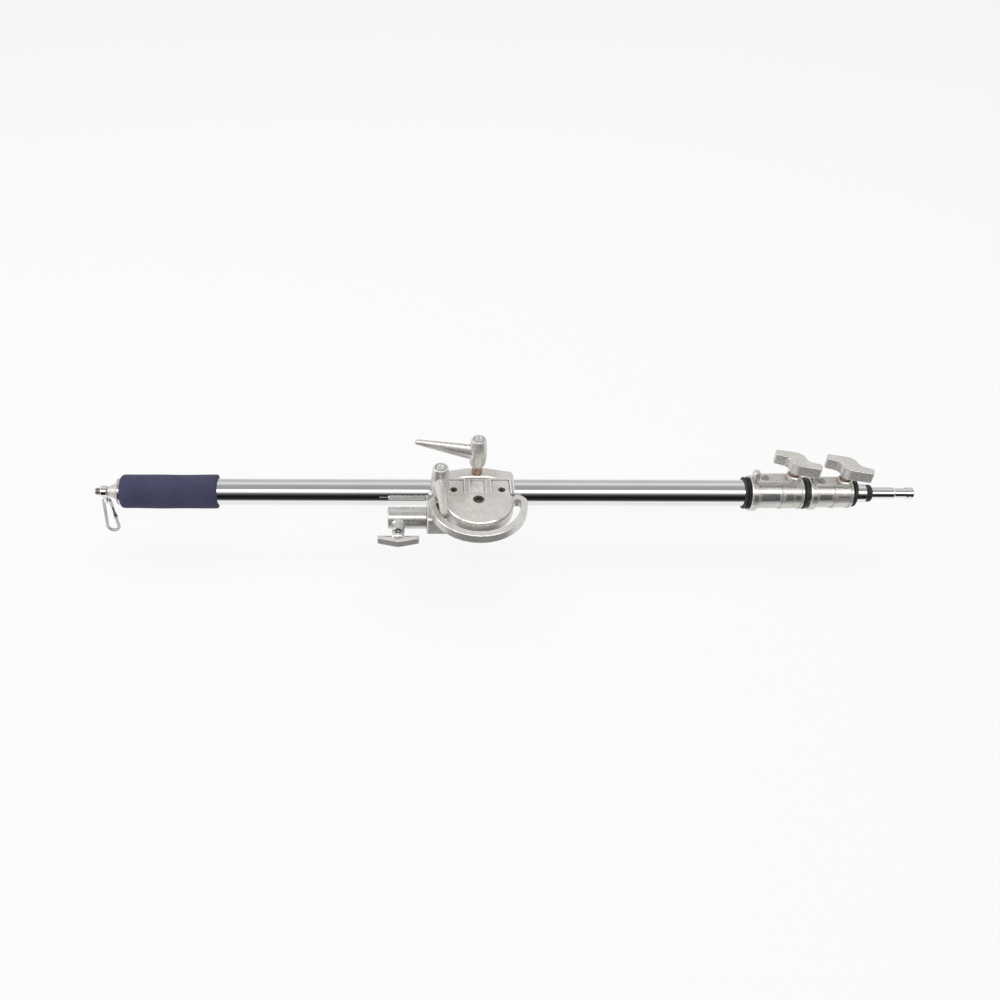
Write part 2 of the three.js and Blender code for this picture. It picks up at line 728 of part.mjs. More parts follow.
function clamp_casting(size) {
  const { length, radius, flange_r, boss_top, block_top, lug_top, knob_x, screw_x, seat_r, bore_r } = size;
  const flange = clamp_flange_length;
  const rib_r = radius + clamp_rib_height;
  const nose_r = radius - clamp_nose_chamfer;
  const first_rib = knob_x - clamp_boss_r - clamp_rib_length;
  const body = turned_x([
    [0, 0],
    [0, flange_r - clamp_nose_chamfer],
    [clamp_nose_chamfer, flange_r],
    [flange - clamp_nose_chamfer, flange_r],
    [flange, radius],
    [first_rib, radius],
    [first_rib, rib_r],
    [first_rib + clamp_rib_length, rib_r],
    [first_rib + clamp_rib_length, radius],
    [length - clamp_rib_length, radius],
    [length - clamp_rib_length, rib_r],
    [length - clamp_nose_chamfer, rib_r],
    [length, nose_r],
    [length, 0],
  ]);
  const half = clamp_block_half_width;
  const ledge = rounded_rectangle(flange / 2, knob_x, -half, half, clamp_nose_chamfer);
  const lug_r = clamp_lug_half_width;
  const lug = new THREE.Shape();
  lug.moveTo(-lug_r, 0);
  lug.lineTo(lug_r, 0);
  lug.lineTo(lug_r, lug_top - lug_r);
  lug.absarc(0, lug_top - lug_r, lug_r, 0, Math.PI);
  lug.lineTo(-lug_r, 0);
  const lug_solid = raised(lug, 0, clamp_lug_length, clamp_nose_chamfer, 2 * corner_steps)
    .rotate([90, 0, 90]).translate([clamp_nose_chamfer, 0, 0]);
  const boss = turned_z([
    [0, 0],
    [0, clamp_boss_r],
    [boss_top - clamp_nose_chamfer, clamp_boss_r],
    [boss_top, clamp_boss_r - clamp_nose_chamfer],
    [boss_top, 0],
  ]).translate([knob_x, 0, 0]);
  const shoe_top = bore_r + clamp_shoe_height + seat_gap;
  const shoe_half = clamp_shoe_length / 2 + seat_gap;
  const shoe_half_width = clamp_shoe_width / 2 + seat_gap;
  const screw_floor = block_top - clamp_screw_depth - seat_gap;
  return body.add(raised(ledge, 0, block_top, 0, corner_steps)).add(lug_solid).add(boss)
    .subtract(clamp_panels(flange + clamp_panel_gap, first_rib - clamp_panel_gap, radius))
    .subtract(rod_x(-cut_overrun, length + 2 * cut_overrun, bore_r, tube_sides))
    .subtract(rod_x(-cut_overrun, clamp_seat_depth + seat_gap + cut_overrun, seat_r, tube_sides))
    .subtract(block(knob_x - shoe_half, knob_x + shoe_half, -shoe_half_width, shoe_half_width, 0, shoe_top))
    .subtract(rod_z(knob_x, 0, 0, boss_top + cut_overrun, knob_screw_r + thread_gap))
    .subtract(rod_z(screw_x, 0, screw_floor, block_top, clamp_screw_shank_r + thread_gap));
}

function clamp_screw(size) {
  const seat = size.block_top;
  const head_z = seat + seat_gap;
  const top = head_z + clamp_screw_head_height;
  const shoulder = top - clamp_screw_head_height / 2;
  const slot = clamp_screw_slot_width;
  return turned_z([
    [seat - clamp_screw_depth, 0],
    [seat - clamp_screw_depth, clamp_screw_shank_r],
    [head_z, clamp_screw_shank_r],
    [head_z, clamp_screw_head_r],
    [shoulder, clamp_screw_head_r],
    [top, clamp_screw_head_r / 2],
    [top, 0],
  ]).subtract(block(-clamp_screw_head_r, clamp_screw_head_r, -slot / 2, slot / 2, shoulder, top + slot))
    .translate([size.screw_x, 0, 0]);
}

function clamp_pieces(number, rear_x, size, pressed_r) {
  const { knob_x, boss_top, bore_r } = size;
  const shift = (part) => part.translate([rear_x, 0, 0]);
  const collar_z = boss_top + seat_gap;
  const knob_z = collar_z + knob_collar_height + seat_gap;
  const shoe_top = bore_r + clamp_shoe_height;
  const screw_z = shoe_top + seat_gap;
  const knob = wing_knob(knob_outline(), knob_hub_height, knob_wing_low, knob_wing_height);
  const shoe = brake_shoe(knob_x, clamp_shoe_length, clamp_shoe_width, shoe_top, pressed_r);
  const collar = ring_z(knob_x, 0, collar_z, knob_collar_height, knob_screw_r + thread_gap, knob_collar_r);
  const screw = rod_z(knob_x, 0, screw_z, knob_z + knob_screw_depth - screw_z, knob_screw_r);
  return [
    mesh(`clamp_${number}_casting`, shift(clamp_casting(size)), cast_metal),
    mesh(`clamp_${number}_shoe`, shift(shoe), brake_nylon),
    mesh(`clamp_${number}_screw`, shift(clamp_screw(size)), satin_steel),
    mesh(`knob_${number}_collar`, shift(collar), copper),
    mesh(`wing_knob_${number}`, shift(place_lever(knob, knob_x, 0, knob_z, knob_turn)), cast_metal),
    mesh(`wing_knob_${number}_screw`, shift(screw), satin_steel),
  ];
}

// Rear end: grip, cap, stud and eye

function foam_grip() {
  const rear = tube_1_rear_x + seat_gap;
  const front = rear + grip_length;
  const inner = tube_1_r + seat_gap;
  const edge = grip_edge_r;
  const bulge = edge * (1 - Math.SQRT1_2);
  return turned_x([
    [rear, inner],
    [front, inner],
    [front, grip_r - edge / 2],
    [front - bulge / 2, grip_r - bulge / 2],
    [front - edge / 2, grip_r],
    [rear + edge, grip_r],
    [rear + bulge, grip_r - bulge],
    [rear, grip_r - edge],
    [rear, inner],
  ], tube_sides);
}

function rear_end_cap() {
  const plug_end = tube_1_rear_x + cap_plug_length;
  const rim = cap_rim_x + cap_rim_length;
  const hole = rear_stud_r + thread_gap;
  return turned_x([
    [cap_tip_x, hole],
    [plug_end, hole],
    [plug_end, tube_1_bore_r - seat_gap],
    [rim, tube_1_bore_r - seat_gap],
    [rim, tube_1_r],
    [cap_rim_x, tube_1_r],
    [cap_rim_x, cap_cone_large_r],
    [cap_tip_x, cap_cone_small_r],
    [cap_tip_x, hole],
  ]);
}

function rear_stud() {
  const front = tube_1_rear_x + cap_plug_length;
  const tip = front - rear_stud_length;
  const edge = rear_stud_r - rear_stud_chamfer;
  return turned_x([
    [tip, 0], [tip, edge], [tip + rear_stud_chamfer, rear_stud_r], [front, rear_stud_r], [front, 0],
  ], small_sides);
}

const ear_x = eye_x + eye_length / 2;

function hook_eye() {
  const chamfer = rear_stud_chamfer;
  const end = eye_x + eye_length;
  const hole = rear_stud_r + thread_gap;
  const collar = turned_x([
    [eye_x, hole],
    [end, hole],
    [end, eye_r - chamfer],
    [end - chamfer, eye_r],
    [eye_x + chamfer, eye_r],
    [eye_x, eye_r - chamfer],
    [eye_x, hole],
  ], small_sides);
  const ear_start = ear_x - ear_thickness / 2;
  const ear = rod_x(ear_start, ear_thickness, ear_r, small_sides).translate([0, 0, ear_z]);
  const neck = block(ear_start, ear_start + ear_thickness, -ear_r, ear_r, ear_z, -hole - tube_wall / 2);
  const ear_hole = rod_x(ear_start - cut_overrun, ear_thickness + 2 * cut_overrun, ear_hole_r, small_sides)
    .translate([0, 0, ear_z]);
  return collar.add(ear).add(neck).subtract(ear_hole);
}

// Wire link: a pear outline in the XZ plane, its small end through the ear.
// The straight sides run between the points where they touch the two end circles.
const link_top_z = ear_z - link_top_r;
const link_foot_z = link_top_z - link_height + link_top_r;
const link_lean = Math.asin((link_foot_r - link_top_r) / (link_top_z - link_foot_z));

function link_leg_point(share) {
  const x0 = link_top_r * Math.cos(link_lean);
  const z0 = link_top_z + link_top_r * Math.sin(link_lean);
  const x1 = link_foot_r * Math.cos(link_lean);
  const z1 = link_foot_z + link_foot_r * Math.sin(link_lean);
  return new THREE.Vector3(ear_x + x0 + (x1 - x0) * share, 0, z0 + (z1 - z0) * share);
}

function circle_point(radius, middle_z, angle) {
  return new THREE.Vector3(ear_x + radius * Math.cos(angle), 0, middle_z + radius * Math.sin(angle));
}

class LinkPath extends THREE.Curve {
  // From the gate's upper end over the top, down the closed leg and round the foot to its lower end
  constructor() {
    super();
    const mirrored = (point) => new THREE.Vector3(2 * ear_x - point.x, 0, point.z);
    this.stretches = [
      { from: link_leg_point(gate_top_share), to: link_leg_point(0) },
      { r: link_top_r, z: link_top_z, from: link_lean, to: Math.PI - link_lean },
      { from: mirrored(link_leg_point(0)), to: mirrored(link_leg_point(1)) },
      { r: link_foot_r, z: link_foot_z, from: Math.PI - link_lean, to: 2 * Math.PI + link_lean },
      { from: link_leg_point(1), to: link_leg_point(gate_foot_share) },
    ];
    this.lengths = this.stretches.map(({ r, from, to }) => (r ? r * (to - from) : from.distanceTo(to)));
    this.total = this.lengths.reduce((sum, length) => sum + length, 0);
  }

  getPoint(t, target = new THREE.Vector3()) {
    let rest = Math.min(Math.max(t, 0), 1) * this.total;
    let k = 0;
    while (k < this.lengths.length - 1 && rest > this.lengths[k]) {
      rest -= this.lengths[k];
      k += 1;
    }
    const { r, z, from, to } = this.stretches[k];
    const share = rest / this.lengths[k];
    if (r) return target.copy(circle_point(r, z, from + (to - from) * share));
    return target.copy(from).lerp(to, share);
  }
}

function wire(curve, radius, steps) {
  const section = new THREE.Shape();
  section.absarc(0, 0, radius, 0, 2 * Math.PI);
  const options = { steps, extrudePath: curve, curveSegments: wire_sides / 2 };
  return solid(new THREE.ExtrudeGeometry(section, options));
}

function hook_link() {
  const hinge = link_leg_point(gate_foot_share);
  const pin_length = 2 * (wire_r + gate_pin_overhang);
  const pin_hole = rod_z(0, 0, -pin_length, 2 * pin_length, gate_pin_r + seat_gap)
    .rotate([90, 0, 0]).translate([hinge.x, 0, hinge.z]);
  const cheek_width = wire_r + gate_pin_overhang / 2;
  const cheeks = turned_z([
    [-cheek_width, 0], [-cheek_width, gate_knuckle_r], [cheek_width, gate_knuckle_r], [cheek_width, 0],
  ], small_sides / 2).rotate([90, 0, 0]).translate([hinge.x, 0, hinge.z]);
  const gap = block(hinge.x - 2 * gate_knuckle_r, hinge.x + 2 * gate_knuckle_r,
    -gate_pin_r - seat_gap, gate_pin_r + seat_gap, hinge.z - gate_knuckle_r - seat_gap,
    hinge.z + 2 * gate_knuckle_r);
  return wire(new LinkPath(), wire_r, link_steps).add(cheeks).subtract(gap).subtract(pin_hole);
}

function gate_pin() {
  const hinge = link_leg_point(gate_foot_share);
  const half = wire_r + gate_pin_overhang;
  return turned_z([[-half, 0], [-half, gate_pin_r], [half, gate_pin_r], [half, 0]])
    .rotate([90, 0, 0]).translate([hinge.x, 0, hinge.z]);
}

function hook_gate() {
  const hinge = link_leg_point(gate_foot_share);
  const latch = link_leg_point(gate_top_share);
  const direction = latch.clone().sub(hinge);
  const length = direction.length() - seat_gap;
  const tilt = (Math.atan2(direction.x, direction.z) * 180) / Math.PI;
  const tongue = gate_pin_r;
  const knuckle = turned_z([
    [-tongue, 0], [-tongue, gate_knuckle_r], [tongue, gate_knuckle_r], [tongue, 0],
  ], small_sides / 2).rotate([90, 0, 0]);
  const shoulder = gate_knuckle_r + wire_r + seat_gap;
  const bar = turned_z([[shoulder, 0], [shoulder, gate_r], [length, gate_r], [length, 0]], small_sides / 2);
  const blade = block(-gate_knuckle_r, gate_knuckle_r, -tongue, tongue, 0, shoulder + gate_knuckle_r);
  const hole = turned_z([
    [-shoulder, 0], [-shoulder, gate_pin_r + seat_gap], [shoulder, gate_pin_r + seat_gap], [shoulder, 0],
  ], small_sides / 2).rotate([90, 0, 0]);
  return knuckle.add(bar).add(blade).subtract(hole).rotate([0, tilt, 0])
    .translate([hinge.x, 0, hinge.z]);
}

// Rings, glides and spigot

function stop_ring() {
  const end = clamp_1_rear_x - seat_gap;
  const start = end - stop_ring_length;
  const quarter = stop_ring_length / 4;
  const inner = tube_1_r + seat_gap;
  return turned_x([
    [start, inner],
    [end, inner],
    [end, stop_ring_groove_r],
    [end - quarter / 2, stop_ring_r],
    [end - 3 * quarter / 2, stop_ring_r],
    [end - 2 * quarter, stop_ring_groove_r],
    [start + 3 * quarter / 2, stop_ring_r],
    [start + quarter / 2, stop_ring_r],
    [start, stop_ring_groove_r],
    [start, inner],
  ]);
}

function nose_band(x, length, inner_r, outer_r) {
  const edge = length / 4;
  const end = x + length;
  return turned_x([
    [x, inner_r], [end, inner_r], [end, outer_r - edge / 2], [end - edge, outer_r],
    [x + edge, outer_r], [x, outer_r - edge / 2], [x, inner_r],
  ]);
}

// Bush at the hidden end of an inner tube: a flange that runs in the outer tube and a plug
function glide(tube_rear_x, outer_bore_r, own_bore_r) {
  const start = tube_rear_x - seat_gap - glide_flange_length;
  const flange_end = start + glide_flange_length;
  const end = flange_end + glide_plug_length;
  const plug_r = own_bore_r - seat_gap;
  const bore = plug_r - glide_wall;
  return turned_x([
    [start, bore],
    [end, bore],
    [end, plug_r],
    [flange_end, plug_r],
    [flange_end, outer_bore_r - seat_gap],
    [start, outer_bore_r - seat_gap],
    [start, bore],
  ], small_sides);
}

function tube_end_ring() {
  const start = tube_3_front_x - end_ring_plug_length;
  const face = tube_3_front_x + seat_gap;
  const end = face + end_ring_length;
  const bore = spigot_r + seat_gap;
  return turned_x([
    [start, bore],
    [end, bore],
    [end, end_ring_r - spigot_edge],
    [end - spigot_edge, end_ring_r],
    [face, end_ring_r],
    [face, tube_3_bore_r - seat_gap],
    [start, tube_3_bore_r - seat_gap],
    [start, bore],
  ]);
}

function spigot() {
  const foot = tube_3_front_x - spigot_inset - spigot_foot_length;
  const foot_end = foot + spigot_foot_length;
  const groove = tube_3_front_x + seat_gap + end_ring_length + spigot_shank_length;
  const head = groove + spigot_groove_length;
  const end = head + spigot_head_length;
  const slope = spigot_r - spigot_groove_r;
  return turned_x([
    [foot, 0],
    [foot, tube_3_bore_r - seat_gap],
    [foot_end, tube_3_bore_r - seat_gap],
    [foot_end, spigot_r],
    [groove, spigot_r],
    [groove + slope, spigot_groove_r],
    [head - slope, spigot_groove_r],
    [head, spigot_r],
    [end - spigot_edge, spigot_r],
    [end, spigot_r - spigot_edge],
    [end, 0],
  ]);
}

// The whole boom

function stand_side() {
  const outline = handle_outline(t_handle_reach);
  const handle = wing_knob(outline, t_handle_hub_height, t_handle_wing_low, t_handle_wing_height);
  const handle_z = receiver_boss_height + seat_gap;
  const screw = rod_z(0, 0, receiver_bore_r, handle_z + knob_screw_depth - receiver_bore_r, knob_screw_r);
  const on_receiver = (part) => part.rotate([90, 0, 0]).translate([t_handle_x, pivot_y, 0]);
  const lever_turn = lever_turn_tilt;
  return [
    mesh('receiver_bracket', receiver_bracket(), cast_metal),
    mesh('receiver_tube', receiver_tube(), satin_steel),
    mesh('pivot_bolt', pivot_bolt(), dark_steel),
    mesh('pivot_washer', pivot_washer(), satin_steel),
    mesh('pivot_nut', pivot_nut(), satin_steel),
    mesh('friction_washer', friction_washer(), brake_nylon),
    mesh('tilt_stud', tilt_stud(), satin_steel),
    mesh('slot_washer', ring_z(-slot_r, pivot_y, slot_washer_z, slot_washer_height,
      tilt_stud_r + seat_gap, slot_washer_r), satin_steel),
    mesh('tilt_collar', ring_z(-slot_r, pivot_y, tilt_collar_z, tilt_collar_height,
      tilt_stud_r + thread_gap, tilt_collar_r), copper),
    mesh('t_handle', on_receiver(handle.translate([0, 0, handle_z])), cast_metal),
    mesh('t_handle_screw', on_receiver(screw), satin_steel),
    mesh('tilt_lever', place_lever(lever_body(), -slot_r, pivot_y, tilt_lever_z, lever_turn), cast_metal),
    mesh('tilt_lever_cap_screw', place_lever(lever_cap_screw(), -slot_r, pivot_y, tilt_lever_z, lever_turn),
      chrome),
  ];
}

function head_side() {
  const screw_z = head_shoe_top_z + seat_gap;
  const screw_length = tube_lever_z + lever_stud_depth - screw_z;
  const lever_turn = lever_turn_tube;
  return [
    mesh('head_casting', head_casting(), cast_metal),
    mesh('head_brake_shoe', brake_shoe(0, head_shoe_length, head_shoe_width, head_shoe_top_z, tube_1_r),
      brake_nylon),
    mesh('pinch_screw_left', pinch_screw(-pinch_x), dark_steel),
    mesh('pinch_screw_right', pinch_screw(pinch_x), dark_steel),
    mesh('tube_collar', ring_z(0, 0, tube_collar_z, tube_collar_height,
      tube_screw_r + thread_gap, tube_collar_r), copper),
    mesh('tube_lever', place_lever(lever_body(), 0, 0, tube_lever_z, lever_turn), cast_metal),
    mesh('tube_lever_cap_screw', place_lever(lever_cap_screw(), 0, 0, tube_lever_z, lever_turn), chrome),
    mesh('tube_lever_screw', rod_z(0, 0, screw_z, screw_length, tube_screw_r), satin_steel),
  ];
}

function tube_side() {
  const clamp_1 = {
    length: clamp_1_length, radius: clamp_1_r, flange_r: clamp_1_flange_r, boss_top: clamp_1_boss_top_z,
    block_top: clamp_1_block_top_z, lug_top: clamp_1_lug_top_z, knob_x: clamp_1_knob_x,
    screw_x: clamp_1_screw_x,
    seat_r: tube_1_r + seat_gap, bore_r: tube_2_r + seat_gap,
  };
  const clamp_2 = {
    length: clamp_2_length, radius: clamp_2_r, flange_r: clamp_2_flange_r, boss_top: clamp_2_boss_top_z,
    block_top: clamp_2_block_top_z, lug_top: clamp_2_lug_top_z, knob_x: clamp_2_knob_x,
    screw_x: clamp_2_screw_x,
    seat_r: tube_2_r + seat_gap, bore_r: tube_3_r + seat_gap,
  };
  return [
    mesh('main_tube', ring_x(tube_1_rear_x, tube_1_length, tube_1_bore_r, tube_1_r, tube_sides), chrome),
    mesh('foam_grip', foam_grip(), navy_foam),
    mesh('rear_end_cap', rear_end_cap(), white_plastic),
    mesh('rear_stud', rear_stud(), satin_steel),
    mesh('hook_eye', hook_eye(), chrome),
    mesh('hook_link', hook_link(), chrome),
    mesh('gate_pin', gate_pin(), satin_steel),
    mesh('hook_gate', hook_gate(), dark_steel),
    mesh('stop_ring', stop_ring(), black_rubber),
    ...clamp_pieces(1, clamp_1_rear_x, clamp_1, tube_2_r),
    mesh('nose_band_1', nose_band(band_1_x, band_1_length, tube_2_r + seat_gap, band_1_r), black_rubber),
    mesh('section_2_tube', ring_x(tube_2_rear_x, tube_2_length, tube_2_bore_r, tube_2_r, tube_sides), chrome),
    mesh('section_2_glide', glide(tube_2_rear_x, tube_1_bore_r, tube_2_bore_r), brake_nylon),
    ...clamp_pieces(2, clamp_2_rear_x, clamp_2, tube_3_r),
    mesh('nose_band_2', nose_band(band_2_x, band_2_length, tube_3_r + seat_gap, band_2_r), black_rubber),
    mesh('section_3_tube', ring_x(tube_3_rear_x, tube_3_length, tube_3_bore_r, tube_3_r, tube_sides), chrome),
    mesh('section_3_glide', glide(tube_3_rear_x, tube_2_bore_r, tube_3_bore_r), brake_nylon),
    mesh('tube_end_ring', tube_end_ring(), black_rubber),
    mesh('spigot', spigot(), chrome),
  ];
}

const boom = new THREE.Group();
boom.position.set(-receiver_mouth_x, -pivot_y, 0);
boom.add(...stand_side(), ...head_side(), ...tube_side());

const model = new THREE.Group();
model.add(boom);

export default model;
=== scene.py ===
"""Looks of an overhead boom arm: chrome tubes, cast aluminium fittings, foam grip, black rubber rings.

Lengths are metres in the frame's own axes. Turned pieces are profiles carried round an axis, the
wing knobs are plan outlines raised with rounded edges, and cast pieces are merged copies of their
solids with their edges rounded.
"""

import json
import math

import bmesh
import bpy
import numpy as np
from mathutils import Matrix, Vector


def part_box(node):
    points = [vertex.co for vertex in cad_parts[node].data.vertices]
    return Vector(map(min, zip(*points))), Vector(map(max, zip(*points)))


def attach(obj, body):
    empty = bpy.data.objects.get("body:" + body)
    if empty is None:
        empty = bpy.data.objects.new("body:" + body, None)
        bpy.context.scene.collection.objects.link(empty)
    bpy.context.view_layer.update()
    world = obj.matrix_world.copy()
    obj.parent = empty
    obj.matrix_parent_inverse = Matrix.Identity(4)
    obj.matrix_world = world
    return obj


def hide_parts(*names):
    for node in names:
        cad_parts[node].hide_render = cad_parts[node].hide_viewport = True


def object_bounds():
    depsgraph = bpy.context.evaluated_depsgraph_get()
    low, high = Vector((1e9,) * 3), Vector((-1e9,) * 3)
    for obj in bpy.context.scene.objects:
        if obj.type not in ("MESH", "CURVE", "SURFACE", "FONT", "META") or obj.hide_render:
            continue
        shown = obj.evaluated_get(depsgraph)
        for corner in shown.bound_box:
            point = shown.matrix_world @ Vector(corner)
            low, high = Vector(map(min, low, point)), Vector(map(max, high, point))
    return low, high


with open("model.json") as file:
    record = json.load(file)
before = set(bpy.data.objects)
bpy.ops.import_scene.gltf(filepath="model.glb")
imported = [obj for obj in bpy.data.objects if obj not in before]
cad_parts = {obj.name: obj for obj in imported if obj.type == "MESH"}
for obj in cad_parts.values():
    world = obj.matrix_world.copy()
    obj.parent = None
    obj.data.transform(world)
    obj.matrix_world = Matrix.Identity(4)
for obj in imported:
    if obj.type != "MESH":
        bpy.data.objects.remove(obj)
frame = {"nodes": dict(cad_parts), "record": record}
cad_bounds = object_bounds()

MM = 0.001
PHOTO_SCALE = 1.311 * MM  # metres on the boom's centre line for each pixel of the photograph
PHOTO_SIZE = 1000
CAMERA_DISTANCE = 1.369
CAMERA_ELEVATION = math.radians(42.4)
CAMERA_ROLL = math.radians(0.14)
CAMERA_PIXEL_X = 403  # pixel column straight ahead of the lens
BOOM_PIXEL_Y = 492  # pixel row of the boom's centre line
PIVOT_PIXEL_X = 475.5

BODY_OF = {n: b for b, names in frame["record"]["behaviour"]["bodies"].items() for n in names}
SLOT_OF = {row["node"]: row["material_slot"] for row in frame["record"]["subparts"]}
JOINT_AT = {j["name"]: j.get("pos_m") for j in frame["record"]["behaviour"]["joints"]}

TURN_STEPS = 96
SMALL_TURN_STEPS = 48
FINE_TURN_STEPS = 128


# Node boxes

def span(node):
    low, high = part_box(node)
    return np.array(low), np.array(high)


def middle(node):
    low, high = span(node)
    return (low + high) / 2


def outer_radius(node):
    """Half the height of a node that is round about the boom's centre line."""
    low, high = span(node)
    return (high[2] - low[2]) / 2


BOOM_Y, BOOM_Z = middle("main_tube")[1:]


# Camera, floor and light

def add_camera():
    """Camera in front of the boom and above it, level with the pixel column that faces the lens."""
    pivot_x = middle("pivot_bolt")[0]
    x = pivot_x - (PIVOT_PIXEL_X - CAMERA_PIXEL_X) * PHOTO_SCALE
    y = BOOM_Y - CAMERA_DISTANCE * math.cos(CAMERA_ELEVATION)
    z = BOOM_Z + CAMERA_DISTANCE * math.sin(CAMERA_ELEVATION)
    data = bpy.data.cameras.new("photo_camera")
    data.sensor_width = 36
    data.lens = data.sensor_width * CAMERA_DISTANCE / (PHOTO_SIZE * PHOTO_SCALE)
    data.shift_x = (PHOTO_SIZE / 2 - CAMERA_PIXEL_X) / PHOTO_SIZE
    data.shift_y = (BOOM_PIXEL_Y - PHOTO_SIZE / 2) / PHOTO_SIZE
    camera = bpy.data.objects.new("photo_camera", data)
    camera.location = (x, y, z)
    camera.rotation_euler = (math.pi / 2 - CAMERA_ELEVATION, 0, 0)
    camera.rotation_euler.rotate_axis("Z", CAMERA_ROLL)
    bpy.context.scene.collection.objects.link(camera)
    bpy.context.scene.camera = camera


def nodes_of(material):
    material.use_nodes = True
    tree = material.node_tree
    tree.nodes.clear()
    return tree.nodes, tree.links


FLOOR_DROP = 0.012
FLOOR_SIZE = 12
FLOOR_SHADOW_SHARE = 0.14


def seen_directly(nodes, links):
    """1 where the camera, a mirror or a clear piece looks at a surface, 0 where only its light counts."""
    paths = nodes.new("ShaderNodeLightPath")
    first = nodes.new("ShaderNodeMath")
    first.operation = "MAXIMUM"
    second = nodes.new("ShaderNodeMath")
    second.operation = "MAXIMUM"
    links.new(paths.outputs["Is Camera Ray"], first.inputs[0])
    links.new(paths.outputs["Is Glossy Ray"], first.inputs[1])
    links.new(first.outputs[0], second.inputs[0])
    links.new(paths.outputs["Is Transmission Ray"], second.inputs[1])
    return second.outputs[0]


def stage_panel(name, corners, faces, shader):
    """Flat pieces of the studio from corners and faces, with the surface that shader(nodes, links) returns."""
    mesh = bpy.data.meshes.new(name)
    mesh.from_pydata(corners, [], faces)
    panel = bpy.data.objects.new(name, mesh)
    bpy.context.scene.collection.objects.link(panel)
    material = bpy.data.materials.new(name)
    nodes, links = nodes_of(material)
    out = nodes.new("ShaderNodeOutputMaterial")
    links.new(shader(nodes, links), out.inputs["Surface"])
    mesh.materials.append(material)
    return panel


def add_floor():
    """Pale floor under the lowest piece: nearly white where it is seen, with a soft shadow."""
    z = cad_bounds[0][2] - FLOOR_DROP
    half = FLOOR_SIZE / 2

    def paper(nodes, links):
        matt = nodes.new("ShaderNodeBsdfDiffuse")
        matt.inputs["Color"].default_value = (0.8, 0.8, 0.8, 1)
        glow = nodes.new("ShaderNodeEmission")
        glow.inputs["Color"].default_value = (1, 1, 1, 1)
        glow.inputs["Strength"].default_value = 1
        pale = nodes.new("ShaderNodeMixShader")
        pale.inputs[0].default_value = 1 - FLOOR_SHADOW_SHARE
        links.new(matt.outputs[0], pale.inputs[1])
        links.new(glow.outputs[0], pale.inputs[2])
        mix = nodes.new("ShaderNodeMixShader")
        links.new(seen_directly(nodes, links), mix.inputs[0])
        links.new(matt.outputs[0], mix.inputs[1])
        links.new(pale.outputs[0], mix.inputs[2])
        return mix.outputs[0]

    corners = [(-half, -half, z), (half, -half, z), (half, half, z), (-half, half, z)]
    stage_panel("floor", corners, [(0, 1, 2, 3)], paper)


CARD_REACH = 1.6
CARD_LENGTH = 5.2


def add_card(name, rows):
    """Curved card that only reflections see, along the boom. rows are (angle, brightness) pairs.

    The angle is in degrees from straight up towards the front. Each row lies at CARD_REACH from the
    boom, or where that direction meets the floor, and the brightness runs evenly between rows.
    """
    half = CARD_LENGTH / 2
    floor = cad_bounds[0][2] - FLOOR_DROP / 2
    corners, tones = [], []
    for degrees, tone in rows:
        a = math.radians(degrees)
        y, z = BOOM_Y - CARD_REACH * math.sin(a), BOOM_Z + CARD_REACH * math.cos(a)
        if z < floor:
            y, z = BOOM_Y + (BOOM_Z - floor) * math.tan(a), floor
        corners += [(-half, y, z), (half, y, z)]
        tones += [tone, tone]
    faces = [(2 * i, 2 * i + 1, 2 * i + 3, 2 * i + 2) for i in range(len(rows) - 1)]

    def felt(nodes, links):
        read = nodes.new("ShaderNodeAttribute")
        read.attribute_name = "tone"
        tone = nodes.new("ShaderNodeEmission")
        links.new(read.outputs["Fac"], tone.inputs["Strength"])
        return tone.outputs[0]

    card = stage_panel(name, corners, faces, felt)
    card.data.attributes.new("tone", "FLOAT", "POINT").data.foreach_set("value", tones)
    card.visible_camera = False
    card.visible_diffuse = False
    card.visible_shadow = False


def add_cards():
    """Grey card overhead and a dark one in front, from over the horizon down to the floor."""
    add_card("overhead_card", [
        (-88, 0.78), (-80, 0.66), (-63, 0.55), (-49, 0.6), (-37, 0.78), (-26, 0.84), (-17, 0.66), (-8, 0.42),
        (4, 0.4), (21, 0.38), (27, 0.55), (31, 0.9)])
    add_card("front_card", [
        (52, 0.9), (57, 0.55), (62, 0.22), (68, 0.11), (76, 0.045), (84, 0.014), (104, 0.012), (111, 0.05),
        (119, 0.09), (123, 0.35), (128, 0.85)])


def add_softbox(name, location, aim, width, height, power):
    data = bpy.data.lights.new(name, "AREA")
    data.shape = "RECTANGLE"
    data.size = width
    data.size_y = height
    data.energy = power
    lamp = bpy.data.objects.new(name, data)
    lamp.location = location
    lamp.rotation_euler = (Vector(aim) - Vector(location)).to_track_quat("-Z", "Y").to_euler()
    bpy.context.scene.collection.objects.link(lamp)


